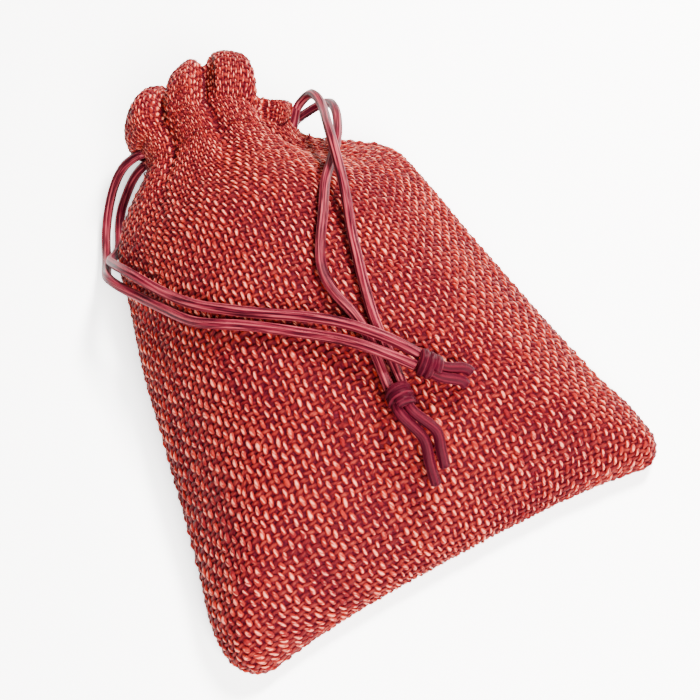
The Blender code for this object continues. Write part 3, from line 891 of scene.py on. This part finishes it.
    def lining(self, height: float, depth: float) -> Array:
        """Give one ring of the hem's lining, which follows the pleats only in the header."""
        top = self.body_length + self.channel_height / 2
        share = float(smooth_step(np.array((height - top) / (3 * self.hem_allowance))))
        return self.layer(height, depth, self.lining_gather * share)

    def outer(self) -> Array:
        """Give the pleated outer face, rows by columns."""
        return self.rings + self.normals * self.pleat_heights[:, :, None]

    def hem_edge(self) -> float:
        """Give the height where the folded hem's raw edge is sewn down."""
        return self.body_length - self.channel_height / 2 - self.hem_allowance


@dataclass
class WovenSheet:
    """The whole sheet of cloth, up the outside, over the rim and down the hem, in yarn numbers."""

    form: PouchForm
    warps: int = 148
    weft_pitch: float = 0.00152
    crowding: float = 0.85
    valley: float = 0.0030
    least_crowd: float = 0.25

    def __post_init__(self) -> None:
        """Lay out the sheet over the form and number its yarns."""
        form = self.form
        outer = form.outer()
        thickness = 2 * form.cloth + form.layer_gap
        lowest = form.hem_edge() + form.hem_allowance
        lining_heights = np.linspace(form.heights[-1], lowest, form.lining_rows)
        lining = np.array([form.lining(height, -thickness) for height in lining_heights])
        middle = (outer[-1] + lining[0]) / 2
        reach = (outer[-1] - lining[0]) / 2
        forward = unit(outer[-1] - outer[-3])
        turn = np.linspace(0.0, pi, form.fold_rows + 2)[1:-1]
        bulge = np.linalg.norm(reach, axis=1, keepdims=True) * 0.85
        fold = np.array([middle + reach * cos(angle) + forward * bulge * sin(angle) for angle in turn])
        self.points = np.concatenate([outer, fold, lining])
        around = np.roll(self.points, -1, axis=1) - np.roll(self.points, 1, axis=1)
        self.normals = unit(np.cross(around, np.gradient(self.points, axis=0)))
        self.normals[0] = (0.0, -1.0, 0.0)
        lengths = np.linalg.norm(np.diff(self.points, axis=0), axis=2)
        front = lengths[:, : form.columns // 2]
        self.run = np.concatenate([[0.0], np.cumsum(np.percentile(front, 70, axis=1))])
        self.wefts = int(self.run[-1] / self.weft_pitch)
        self.outer_rows = len(outer)
        self.shares = self._crowded_shares()

    def _crowded_shares(self) -> Array:
        """Give where each warp lies round each row: crowded in the valleys of the gathers."""
        form = self.form
        crest = np.clip(form.round_the_neck(Pleat.HEIGHT) / self.valley, 0.0, 1.0)
        rows = len(self.points)
        fades = np.ones(rows)
        fades[: self.outer_rows] = smooth_step((form.heights / form.body_length - 0.70) / 0.30)
        places = np.arange(form.columns + 1) / form.columns
        numbers = np.arange(self.warps + 1) / self.warps
        table = []
        for fade in fades:
            crowd = 1 + self.crowding * fade * (np.append(crest, crest[0]) - crest.mean()) * 1.4
            crowd = np.maximum(crowd, self.least_crowd)
            filled = np.concatenate([[0.0], np.cumsum((crowd[:-1] + crowd[1:]) / 2)])
            table.append(np.interp(numbers, filled / filled[-1], places))
        return np.array(table)

    def crooked(self, warp: Array, weft: Array) -> tuple[Array, Array]:
        """Move yarn numbers a little, so that the weave runs as unevenly as hand-woven jute.

        Args:
            warp: Warp numbers.
            weft: Weft numbers, of the same shape.

        Returns:
            The moved warp and weft numbers.
        """
        turn = 2 * pi * warp / self.warps
        sideways = 0.12 * np.sin(0.83 * weft + 2.0 * np.sin(9 * turn))
        sideways += 0.09 * np.sin(1.90 * weft + 5 * turn)
        along = 0.13 * np.sin(41 * turn + 1.3 * np.sin(0.37 * weft))
        along += 0.10 * np.sin(17 * turn + 0.81 * weft)
        edge = smooth_step(weft / 4) * smooth_step((self.wefts - weft) / 4)
        return warp + sideways, weft + along * edge

    def at(self, warp: Array, weft: Array) -> tuple[Array, Array]:
        """Find points of the sheet by yarn number.

        Args:
            warp: Warp numbers, whole on a warp and halfway between two.
            weft: Weft numbers, of the same shape.

        Returns:
            The points and the outward normals.
        """
        warp, weft = self.crooked(warp, weft)
        row = np.interp(weft * self.run[-1] / self.wefts, self.run, np.arange(len(self.run)))
        low = np.clip(row.astype(int), 0, len(self.points) - 2)
        up = (row - low)[..., None]
        turns = np.floor(warp / self.warps)
        number = warp - turns * self.warps
        first = np.clip(number.astype(int), 0, self.warps - 1)
        part = number - first
        shares = self.shares
        share_low = shares[low, first] * (1 - part) + shares[low, first + 1] * part
        share_high = shares[low + 1, first] * (1 - part) + shares[low + 1, first + 1] * part
        place = (share_low * (1 - up[..., 0]) + share_high * up[..., 0]) * self.form.columns
        left = np.floor(place).astype(int)
        over = (place - left)[..., None]
        left %= self.form.columns
        right = (left + 1) % self.form.columns
        found = []
        for grid in (self.points, self.normals):
            below = grid[low, left] * (1 - over) + grid[low, right] * over
            above = grid[low + 1, left] * (1 - over) + grid[low + 1, right] * over
            found.append(below * (1 - up) + above * up)
        return found[0], unit(found[1])


# Sub-assemblies


@dataclass
class Slit:
    """The opening at one side of the neck that a drawstring's two ends leave through."""

    height: float
    share: float
    half_length: float = 0.0017
    half_depth: float = 0.0028
    reach: float = 0.006

    def centre(self, form: PouchForm) -> Array:
        """Give the slit's middle on the outer face."""
        return form.layer(self.height, 0.0, 0.0)[round(self.share * form.columns) % form.columns]

    def clears(self, form: PouchForm, points: Array) -> Array:
        """Tell which points are outside the slit."""
        middle = self.centre(form)
        away = points - middle
        inside = (
            (np.abs(away[..., 1]) < self.half_length)
            & (np.abs(away[..., 2]) < self.half_depth)
            & (np.abs(away[..., 0]) < self.reach)
        )
        return ~inside


@dataclass
class Cloth:
    """The pouch's cloth: its ground, its warps and wefts, and its sewing thread."""

    form: PouchForm
    sheet: WovenSheet
    slits: Sequence[Slit]
    seed: int = 14
    warp_crimp: float = 0.00032
    weft_crimp: float = 0.00010
    thickness: float = 0.00056
    proud: float = 0.00015
    warp_cover: float = 0.62
    weft_cover: float = 0.66
    widest: float = 0.00150
    swell_over: float = 0.08
    roundest: float = 0.75
    wander: float = 0.075
    wander_reach: int = 9
    swelling: float = 0.14
    swelling_reach: int = 14
    ground_depth: float = 0.00052
    ground_wall: float = 0.00040
    ground_columns: int = 180
    stitch_start: int = 2
    stitch_pitch: int = 10
    stitch_span: int = 6
    stitch_rows: int = 7
    stitch_length: float = 0.002
    stitch_drop: float = 0.0006
    stitch_height: float = 0.00025
    stitch_rise: float = 0.00020
    stitch_dive: float = 0.00045
    stitch_lift: float = 0.3
    thread_halves: tuple[float, float] = (0.00022, 0.00018)
    flat: tuple[float, float] = (0.200, 0.150)

    def ground_rings(self) -> Array:
        """List the rings of the cloth's ground, up the outside, over the rim and back inside."""
        form = self.form
        base = -self.ground_depth
        wall = base - self.ground_wall
        lining_back = -form.cloth - form.layer_gap
        lining_front = self.ground_depth - 2 * form.cloth - form.layer_gap
        tunnel = -form.cloth - 2 * form.channel_clearance - form.cord_diameter
        top = form.body_length + form.channel_height / 2
        bottom = form.body_length - form.channel_height / 2
        rim = form.heights[-1]
        outside = slice(0, self.sheet.outer_rows + form.fold_rows)
        rings = list(self.sheet.points[outside] + self.sheet.normals[outside] * base)
        header = np.linspace(rim, top + 2 * form.hem_allowance, 7)
        lane = [top, form.body_length, bottom]
        rings += [form.lining(height, lining_front) for height in header]
        rings += [form.lining(height, tunnel - form.cloth) for height in lane]
        rings.append(form.lining(form.hem_edge(), lining_front))
        rings.append(form.lining(form.hem_edge(), lining_back))
        rings += [form.lining(height, tunnel) for height in reversed(lane)]
        rings += [form.lining(height, lining_back) for height in header[:0:-1]]
        rings.append(form.lining(rim - form.cloth, (lining_back + wall) / 2))
        rings += [form.layer(height, wall, 1.0) for height in [*header[1:], *lane, form.hem_edge()]]
        inner = np.linspace(form.hem_edge(), 2 * form.edge_radius, 30)[1:]
        rings += [form.layer(height, wall, 1.0) for height in inner]
        rings.append(form.layer(form.edge_radius, wall, 1.0))
        rings.append(form.layer(0.0, wall, 1.0))
        points = np.array(rings)
        points[..., 2] = np.maximum(points[..., 2], 0.0)
        return points

    def build_ground(self) -> bpy.types.Object:
        """Build the cloth's ground: the shell that shows between and behind the yarns.

        Returns:
            The shell, with its slits cut.
        """
        step = self.form.columns // self.ground_columns
        rings = self.ground_rings()[:, ::step]
        numbers = np.zeros((*rings.shape[:2], 3))
        numbers[..., 0] = np.arange(self.ground_columns) / self.ground_columns * self.sheet.warps
        run = np.linalg.norm(np.diff(rings, axis=0), axis=2)[:, : self.ground_columns // 2]
        length = np.concatenate([[0.0], np.cumsum(np.percentile(run, 60, axis=1))])
        numbers[..., 1] = length[:, None] / self.sheet.weft_pitch
        ground = patch_mesh("cloth_ground", rings[None], True, {"weave": numbers[None]})
        shape = bmesh.new()
        shape.from_mesh(ground.data)
        bmesh.ops.remove_doubles(shape, verts=shape.verts, dist=LEAST_HEIGHT)
        middles = np.array([face.calc_center_median() for face in shape.faces]) - SHIFT
        clear = np.all([slit.clears(self.form, middles) for slit in self.slits], axis=0)
        cut = [face for face, whole in zip(shape.faces, clear) if not whole]
        bmesh.ops.delete(shape, geom=cut, context="FACES")
        shape.to_mesh(ground.data)
        shape.free()
        return ground

    @staticmethod
    def unevenness(
        yarns: int, samples: int, smoothing: int, rng: np.random.Generator
    ) -> Array:
        """Give smooth random values along each yarn.

        Args:
            yarns: How many yarns.
            samples: How many values along each.
            smoothing: Over how many values on either side they are evened out.
            rng: The seeded source of the values.

        Returns:
            The values, mostly from -1 to 1, with a row for each yarn.
        """
        raw = rng.standard_normal((yarns, samples + 2 * smoothing))
        kernel = np.hanning(2 * smoothing + 3)[1:-1]
        kernel /= np.sqrt((kernel**2).sum())
        return np.array([np.convolve(line, kernel, "valid")[:samples] for line in raw])

    def number_yarns(self, kind: YarnSet, face: Face) -> tuple[Array, Array, Array]:
        """Number one set of yarns over one half of the pouch, with three points to a crossing.

        Args:
            kind: Warps or wefts.
            face: The half to cover.

        Returns:
            The yarns' own numbers, the numbers along them, and how far each point lies over the
            other set, from 1 down to -1 for under it.
        """
        sheet = self.sheet
        half = sheet.warps // 2
        start = int(face.value * sheet.warps)
        if kind is YarnSet.WARP:
            yarns = start + np.arange(half)
            crossings = np.arange(sheet.wefts)
            side = 1
        else:
            yarns = np.arange(sheet.wefts)
            crossings = start + np.arange(-1, half + 1)
            side = -1
        offsets = np.array([-1.0, 0.0, 1.0]) / 3
        places = (crossings[:, None] + 0.5 + offsets).ravel()
        own, along = np.meshgrid(yarns + 0.5, places, indexing="ij")
        parity = (yarns[:, None] + crossings[None, :]) % 2
        over = (side * (1 - 2 * parity))[..., None] * np.cos(pi * offsets)
        return own, along, over.reshape(own.shape)

    def place_yarns(self, kind: YarnSet, own: Array, along: Array) -> tuple[Array, Array, Array]:
        """Find where yarns run on the sheet.

        Args:
            kind: Warps or wefts.
            own: The yarns' own numbers.
            along: The numbers along them.

        Returns:
            The sheet's points, its normals there and the room that each yarn has.
        """
        sheet = self.sheet
        if kind is YarnSet.WARP:
            centre, normal = sheet.at(own, along)
            beside, _ = sheet.at(own + 0.5, along)
            opposite, _ = sheet.at(own - 0.5, along)
        else:
            centre, normal = sheet.at(along, own)
            beside, _ = sheet.at(along, np.minimum(own + 0.5, sheet.wefts))
            opposite, _ = sheet.at(along, np.maximum(own - 0.5, 0.0))
        return centre, normal, np.linalg.norm(beside - opposite, axis=-1)

    def build_yarns(self, kind: YarnSet, face: Face) -> bpy.types.Object:
        """Build one set of yarns over one half of the pouch.

        Args:
            kind: Warps or wefts.
            face: The half to cover.

        Returns:
            All these yarns as one mesh of half-round strips.
        """
        is_warp = kind is YarnSet.WARP
        cover = self.warp_cover if is_warp else self.weft_cover
        crimp = self.warp_crimp if is_warp else self.weft_crimp
        rng = np.random.default_rng(self.seed + len(kind.value + face.name))
        own, along, over = self.number_yarns(kind, face)
        wander = self.unevenness(*own.shape, self.wander_reach, rng) * self.wander
        swell = 1 + self.unevenness(*own.shape, self.swelling_reach, rng) * self.swelling
        tone = rng.random(len(own))
        centre, normal, room = self.place_yarns(kind, own + wander, along)
        width = np.minimum(cover * room * swell * (1 + self.swell_over * over), self.widest)
        thick = np.minimum(self.thickness * swell, width * self.roundest)
        wave = crimp * thick / self.thickness * over
        lift = wave - (self.warp_crimp + self.thickness / 2) + self.proud
        core = centre + normal * lift[..., None]
        across = unit(np.cross(unit(np.gradient(core, axis=1)), normal))
        up = unit(np.cross(across, unit(np.gradient(core, axis=1))))
        points = half_round(core, across, up, (width / 2, thick / 2), YARN_ANGLES)
        steps = np.linalg.norm(np.diff(core, axis=1, prepend=core[:, :1]), axis=-1)
        yarn = np.zeros(points.shape)
        yarn[..., 0] = np.cumsum(steps, axis=1)[..., None]
        yarn[..., 1] = np.sin(np.radians(YARN_ANGLES))
        yarn[..., 2] = tone[:, None, None]
        lie = np.zeros(points.shape)
        lie[..., 0] = over[..., None]
        lie[..., 1] = (width / 2)[..., None]
        lie[..., 2] = float(is_warp)
        keep = np.ones((len(own), own.shape[1] - 1, len(YARN_ANGLES) - 1), bool)
        for slit in self.slits:
            clear = slit.clears(self.form, core)
            keep &= (clear[:, :-1] & clear[:, 1:])[..., None]
        name = f"{face.name.lower()}_{kind.value}s"
        return patch_mesh(name, points, False, {"yarn": yarn, "lie": lie}, keep)

    def build_stitches(self) -> bpy.types.Object:
        """Build the row of stitches that holds the hem down below the draw channel.

        Returns:
            The stitches as one mesh of short thread strips.
        """
        form = self.form
        ring = form.layer(form.hem_edge() - self.stitch_drop, self.stitch_height, 1.0)
        share = np.linspace(0.0, 1.0, self.stitch_rows)[:, None]
        arch = np.sin(pi * share)
        row = form.row(form.hem_edge())[0]
        patches = []
        for column in range(self.stitch_start, form.columns, self.stitch_pitch):
            start, end = ring[[column, (column + self.stitch_span) % form.columns]]
            normal = form.normals[row, column]
            line = start * (1 - share) + end * share
            line = line + normal * (self.stitch_rise * arch - self.stitch_dive * (1 - arch))
            across = unit(np.cross(unit(np.gradient(line, axis=0)), normal))
            up = np.broadcast_to(normal, line.shape)
            patches.append(half_round(line, across, up, self.thread_halves, THREAD_ANGLES))
        points = np.array(patches)
        yarn = np.zeros(points.shape)
        yarn[..., 0] = np.linspace(0.0, self.stitch_length, self.stitch_rows)[None, :, None]
        yarn[..., 1] = np.linspace(-1.0, 1.0, points.shape[2])
        lie = np.zeros(points.shape)
        lie[..., 0] = self.stitch_lift
        lie[..., 1] = self.thread_halves[0]
        return patch_mesh("hem_stitches", points, False, {"yarn": yarn, "lie": lie})

    def dress(self, jute: JuteFinish, ground_finish: GroundFinish) -> list[bpy.types.Object]:
        """Build and finish the cloth's pieces, and put them on the pouch's body.

        Args:
            jute: The yarns' finish.
            ground_finish: The ground's finish.

        Returns:
            The pieces.
        """
        ground = self.build_ground()
        ground.data.materials.append(ground_finish.material())
        yarns = [self.build_yarns(kind, face) for kind in YarnSet for face in Face]
        stitches = self.build_stitches()
        surface = jute.material()
        for piece in [*yarns, stitches]:
            piece.data.materials.append(surface)
        pieces = [ground, *yarns, stitches]
        for piece in pieces:
            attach(piece, BODY)
            log.info("cloth piece %s: %d faces", piece.name, len(piece.data.polygons))
        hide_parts("pouch")
        return pieces


@dataclass
class Drawstring:
    """One drawstring: its held run in the draw channel, two free legs and its knot."""

    name: str
    lane: float
    slit_share: float
    legs: tuple[tuple[Point, ...], tuple[Point, ...]]
    tails: tuple[tuple[Point, ...], tuple[Point, ...]]
    form: PouchForm
    diameter: float = 0.0022
    clearance: float = 0.00045
    knot_length: float = 0.0050
    sides: int = 28
    ridges: int = 7
    ridge_depth: float = 0.10
    # Share of the girth, and push in diameters, of the rings that round off an end
    end_profile: tuple[tuple[float, float], ...] = ((0.85, 0.14), (0.50, 0.24), (0.02, 0.28))
    knot_turns: tuple[float, float] = (-0.2, 2.1)
    knot_points: int = 64
    knot_radius: float = 0.74
    knot_spread: float = 0.62
    tail_start: float = 0.10
    tail_pitch: float = 0.0008
    held_points: int = 24
    held_pitch: float = 0.0012
    leg_pitch: float = 0.0014
    fine_pitch: float = 0.0007
    path_steps: int = 36

    def __post_init__(self) -> None:
        """Place the routes, whose Y is measured from the middle of the draw channel."""
        channel = self.form.body_length
        self.legs = tuple(from_channel(leg, channel) for leg in self.legs)
        self.tails = tuple(from_channel(tail, channel) for tail in self.tails)

    def surface(self) -> BVHTree:
        """Give the outer face for the legs to lie on."""
        outer = self.form.outer()
        rows, columns = outer.shape[:2]
        points = [Vector(point) for point in outer.reshape(-1, 3)]
        faces = []
        for row in range(rows - 1):
            for i in range(columns):
                j = (i + 1) % columns
                low = row * columns
                faces.append((low + i, low + j, low + columns + j, low + columns + i))
        return BVHTree.FromPolygons(points, faces)

    def laid(self, points: Array, surface: BVHTree) -> Array:
        """Move a route out until the cord lies on the cloth, and even out what that bends.

        Args:
            points: The route's points.
            surface: The cloth's outer face.

        Returns:
            The moved points. The first two stay, because the held run ends there.
        """
        reach = self.diameter / 2 + self.clearance
        line = points.copy()
        for _ in range(6):
            for i, point in enumerate(line):
                nearest, normal, _, distance = surface.find_nearest(Vector(point))
                out = Vector(point) - nearest
                if i > 1 and (distance < reach or out.dot(normal) < 0):
                    line[i] = nearest + normal * reach
            line[2:-1] = line[2:-1] * 0.6 + (line[1:-2] + line[3:]) * 0.2
        return line

    def tube(self, name: str, line: Array, scale: Array | float = 1.0) -> bpy.types.Object:
        """Build a cord along a route, with fine lengthwise ridges and rounded ends.

        Args:
            name: The piece's name.
            line: The route's points.
            scale: The cord's girth along the route, as a share of the full one.

        Returns:
            The cord as a closed mesh.
        """
        tangent = unit(np.gradient(line, axis=0))
        up = carried_along(tangent)
        side = np.cross(tangent, up)
        turn = np.arange(self.sides) / self.sides * 2 * pi
        ridge = np.cos(turn * self.ridges)
        girth = (self.diameter / 2) * (1 + self.ridge_depth * (ridge - 1) / 2)
        radius = np.broadcast_to(np.asarray(scale, float), (len(line),))[:, None] * girth[None, :]
        rings = (
            line[:, None]
            + up[:, None] * (np.cos(turn)[None, :] * radius)[..., None]
            + side[:, None] * (np.sin(turn)[None, :] * radius)[..., None]
        )
        ends = []
        for ring, middle, sign, direction in (
            (rings[0], line[0], -1.0, tangent[0]), (rings[-1], line[-1], 1.0, tangent[-1]),
        ):
            offsets = ring - middle
            ends.append([
                middle + offsets * share + direction * sign * self.diameter / 2 * push
                for share, push in self.end_profile
            ])
        rings = np.concatenate([np.array(ends[0])[::-1], rings, np.array(ends[1])])
        run = np.concatenate([[0.0], np.cumsum(np.linalg.norm(np.diff(line, axis=0), axis=1))])
        extra = len(self.end_profile)
        run = np.concatenate([np.full(extra, run[0]), run, np.full(extra, run[-1])])
        yarn = np.zeros(rings.shape)
        yarn[..., 0] = run[:, None]
        yarn[..., 1] = turn / (2 * pi)
        yarn[..., 2] = (len(name) % 7) / 7
        lie = np.zeros(rings.shape)
        lie[..., 0] = (ridge + 1) / 2
        lie[..., 1] = pi * self.diameter
        return patch_mesh(name, rings[None], True, {"yarn": yarn[None], "lie": lie[None]})

    def held_run(self) -> Array:
        """Give the route of the stretch that the draw channel holds."""
        form = self.form
        depth = -(form.cloth + form.channel_clearance + self.diameter / 2)
        ring = form.layer(self.lane, depth, 0.0)
        step = form.columns // self.held_points
        first = round(self.slit_share * form.columns)
        columns = [(first + step * i) % form.columns for i in range(1, self.held_points)]
        points = [self.legs[0][0], *(tuple(ring[column]) for column in columns), self.legs[1][0]]
        return smooth_route(points, self.held_pitch)

    def build_knot(self, ends: Sequence[Array]) -> bpy.types.Object:
        """Build the overhand knot that ties the two legs' ends, with its tails.

        Args:
            ends: The two legs' routes, whose last points go into the knot.

        Returns:
            The knot as one mesh.
        """
        into = np.array([leg[-1] for leg in ends]).mean(axis=0)
        heading = unit(sum(leg[-1] - leg[-3] for leg in ends))
        middle = into + heading * self.knot_length * 0.5
        up = unit(np.array([0.0, 0.0, 1.0]) - heading * heading[2])
        side = np.cross(heading, up)
        first, last = self.knot_turns
        turn = np.linspace(2 * pi * first, 2 * pi * last, self.knot_points)
        share = (turn - turn[0]) / (turn[-1] - turn[0])
        radius = self.diameter * self.knot_radius
        wrap = (
            middle
            + heading[None, :] * ((share - 0.5) * self.knot_length * self.knot_spread)[:, None]
            + up[None, :] * (np.cos(turn) * radius)[:, None]
            + side[None, :] * (np.sin(turn) * radius)[:, None]
        )
        parts = [self.tube(f"{self.name}_wrap", wrap)]
        sideways = unit(ends[0][-1] - ends[1][-1]) * self.diameter * 0.5
        for number, (tail, sign) in enumerate(zip(self.tails, (1, -1))):
            start = middle + heading * self.knot_length * self.tail_start + sideways * sign
            out = middle + heading * self.knot_length * self.knot_spread + sideways * sign
            route = smooth_route([tuple(start), tuple(out), *tail], self.tail_pitch)
            parts.append(self.tube(f"{self.name}_tail_{number}", route))
        return join(f"{self.name}_knot_tied", parts)

    def dress(
        self, finish: bpy.types.Material, knot_finish: bpy.types.Material
    ) -> list[bpy.types.Object]:
        """Build and finish the drawstring's pieces and declare its free legs.

        Args:
            finish: The cord's material.
            knot_finish: The material of the knot and the tails, a darker copy of the cord's as painted
                shade.

        Returns:
            The pieces.
        """
        surface = self.surface()
        routes = [self.laid(smooth_route(leg, self.leg_pitch), surface) for leg in self.legs]
        held = self.tube(f"{self.name}_held_run", self.held_run())
        knot = self.build_knot(routes)
        legs = []
        for word, route in zip(("first", "second"), routes):
            fine = smooth_route([tuple(point) for point in route], self.fine_pitch)
            legs.append((self.tube(f"{self.name}_{word}_leg", fine), fine))
        pieces = [held, knot, *(leg for leg, _ in legs)]
        for piece in pieces:
            piece.data.materials.append(knot_finish if piece is knot else finish)
            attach(piece, BODY)
            log.info("cord piece %s", piece.name)
        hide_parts(f"{self.name}_knot")
        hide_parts(f"{self.name}_drawstring")
        for leg, fine in legs:
            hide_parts(f"{self.name}_drawstring")
        return pieces


@dataclass(frozen=True)
class Lamp:
    """One square soft light that faces the pouch."""

    name: str
    place: Point
    size: float
    energy: float
    colour: Point = (1.0, 0.97, 0.93)

    def build(self) -> None:
        """Build the light."""
        light = bpy.data.lights.new(self.name, "AREA")
        light.size = self.size
        light.energy = self.energy
        light.color = self.colour
        holder = bpy.data.objects.new(self.name, light)
        holder.location = self.place
        holder.rotation_euler = (-Vector(self.place)).to_track_quat("-Z", "Y").to_euler()
        bpy.context.scene.collection.objects.link(holder)


@dataclass
class Studio:
    """A plain white sweep, soft lights and the camera."""

    lamps: Sequence[Lamp] = (
        Lamp("key", (0.28, 0.19, 0.40), 0.11, 19.0),
        Lamp("fill", (-0.02, -0.42, 0.38), 0.34, 23.0),
    )
    floor_size: float = 6.0
    target: Point = (0.002, 0.0513, 0.0)
    azimuth: float = -27.79
    elevation: float = 65.0
    distance: float = 0.2163
    lens: float = 50.0
    sensor: float = 36.0
    nearest: float = 0.01
    surroundings: Colour = (0.95, 0.97, 1.0, 1.0)
    brightness: float = 0.36

    def build_floor(self, finish: FloorFinish) -> None:
        """Build the floor that the pouch lies on."""
        bpy.ops.mesh.primitive_plane_add(size=self.floor_size, location=(0.0, 0.0, 0.0))
        floor = bpy.context.object
        floor.name = "floor"
        floor.data.materials.append(finish.material())

    def build_camera(self) -> None:
        """Build the camera at the photograph's viewing angle."""
        azimuth, elevation = radians(self.azimuth), radians(self.elevation)
        look = Vector((
            -sin(azimuth) * cos(elevation), cos(azimuth) * cos(elevation), -sin(elevation)
        ))
        data = bpy.data.cameras.new("camera")
        data.lens = self.lens
        data.sensor_width = self.sensor
        data.clip_start = self.nearest
        camera = bpy.data.objects.new("camera", data)
        camera.location = Vector(np.array(self.target) + SHIFT) - look * self.distance
        camera.rotation_euler = look.to_track_quat("-Z", "Y").to_euler()
        bpy.context.scene.collection.objects.link(camera)
        bpy.context.scene.camera = camera

    def dress(self) -> None:
        """Build the floor, lights, surrounding light and camera."""
        self.build_floor(FloorFinish("white_sweep"))
        for lamp in self.lamps:
            lamp.build()
        world = bpy.data.worlds.new("studio")
        world.use_nodes = True
        background = world.node_tree.nodes["Background"]
        background.inputs["Color"].default_value = self.surroundings
        background.inputs["Strength"].default_value = self.brightness
        bpy.context.scene.world = world
        self.build_camera()
        log.info("studio ready")


LEFT_LEGS = (
    (
        (-0.0205, 0.0032, 0.0134), (-0.0240, 0.0043, 0.0112), (-0.0275, 0.0037, 0.0076),
        (-0.0308, 0.0013, 0.0042), (-0.0335, -0.0023, 0.0022), (-0.0358, -0.0073, 0.0020),
        (-0.0372, -0.0125, 0.0036), (-0.0385, -0.0180, 0.0078), (-0.0390, -0.0235, 0.0132),
        (-0.0372, -0.0285, 0.0155), (-0.0348, -0.0329, 0.0168), (-0.0311, -0.0408, 0.0208),
        (-0.0272, -0.0479, 0.0243), (-0.0191, -0.0550, 0.0281), (-0.0093, -0.0628, 0.0292),
        (-0.0042, -0.0678, 0.0306), (0.0008, -0.0733, 0.0307), (0.0050, -0.0775, 0.0289),
    ),
    (
        (-0.0204, 0.0025, 0.0100), (-0.0234, 0.0027, 0.0076), (-0.0265, 0.0015, 0.0040),
        (-0.0294, -0.0009, 0.0022), (-0.0315, -0.0047, 0.0016), (-0.0332, -0.0100, 0.0026),
        (-0.0350, -0.0145, 0.0064), (-0.0364, -0.0197, 0.0118), (-0.0354, -0.0250, 0.0168),
        (-0.0335, -0.0299, 0.0192), (-0.0303, -0.0363, 0.0208), (-0.0259, -0.0445, 0.0250),
        (-0.0182, -0.0523, 0.0284), (-0.0084, -0.0593, 0.0295), (-0.0030, -0.0645, 0.0309),
        (0.0026, -0.0707, 0.0309), (0.0069, -0.0759, 0.0289),
    ),
)
RIGHT_LEGS = (
    (
        (0.0170, -0.0023, 0.0104), (0.0205, -0.0017, 0.0108), (0.0234, -0.0030, 0.0134),
        (0.0238, -0.0075, 0.0176), (0.0220, -0.0130, 0.0200), (0.0190, -0.0190, 0.0222),
        (0.0145, -0.0253, 0.0244), (0.0095, -0.0317, 0.0270), (0.0058, -0.0383, 0.0280),
        (0.0014, -0.0455, 0.0286), (-0.0008, -0.0499, 0.0288), (-0.0016, -0.0542, 0.0288),
        (-0.0010, -0.0585, 0.0285), (0.0000, -0.0624, 0.0282), (0.0004, -0.0660, 0.0279),
        (0.0000, -0.0700, 0.0276), (-0.0005, -0.0745, 0.0272), (-0.0013, -0.0793, 0.0278),
    ),
    (
        (0.0170, -0.0017, 0.0131), (0.0192, -0.0005, 0.0142), (0.0208, -0.0015, 0.0168),
        (0.0208, -0.0050, 0.0196), (0.0200, -0.0100, 0.0213), (0.0165, -0.0202, 0.0268),
        (0.0138, -0.0293, 0.0290), (0.0113, -0.0379, 0.0286), (0.0084, -0.0459, 0.0282),
        (0.0070, -0.0506, 0.0284), (0.0057, -0.0549, 0.0284), (0.0042, -0.0604, 0.0281),
        (0.0030, -0.0652, 0.0279), (0.0025, -0.0695, 0.0276), (0.0021, -0.0747, 0.0272),
        (0.0013, -0.0795, 0.0278),
    ),
)
LEFT_TAILS = (
    ((0.0118, -0.0833, 0.0262), (0.0126, -0.0845, 0.0256)),
    ((0.0138, -0.0815, 0.0262), (0.0147, -0.0827, 0.0256)),
)
RIGHT_TAILS = (
    ((0.0004, -0.0895, 0.0242), (-0.0004, -0.0940, 0.0214), (-0.0008, -0.0973, 0.0190)),
    ((0.0032, -0.0893, 0.0244), (0.0026, -0.0927, 0.0224), (0.0020, -0.0955, 0.0206)),
)


def main() -> None:
    """Build the pouch's cloth, its drawstrings and the studio, in order."""
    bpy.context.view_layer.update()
    form = PouchForm()
    sheet = WovenSheet(form)
    upper = form.body_length + form.lane_pitch / 2
    lower = form.body_length - form.lane_pitch / 2
    slits = (Slit(upper, 0.0), Slit(lower, 0.5))
    cloth = Cloth(form, sheet, slits)
    cloth.dress(JuteFinish("dyed_jute"), GroundFinish("weave_ground"))
    satin = CordFinish("satin_cord").material()
    # The darker cord for the knots and tails is painted shade.
    shaded_satin = SHADED_CORD.material()
    Drawstring("left", upper, 0.0, LEFT_LEGS, LEFT_TAILS, form).dress(satin, shaded_satin)
    Drawstring("right", lower, 0.5, RIGHT_LEGS, RIGHT_TAILS, form).dress(satin, shaded_satin)
    Studio().dress()


if __name__ == "__main__":
    logging.basicConfig(level=logging.INFO, format="%(name)s: %(message)s")
    main()
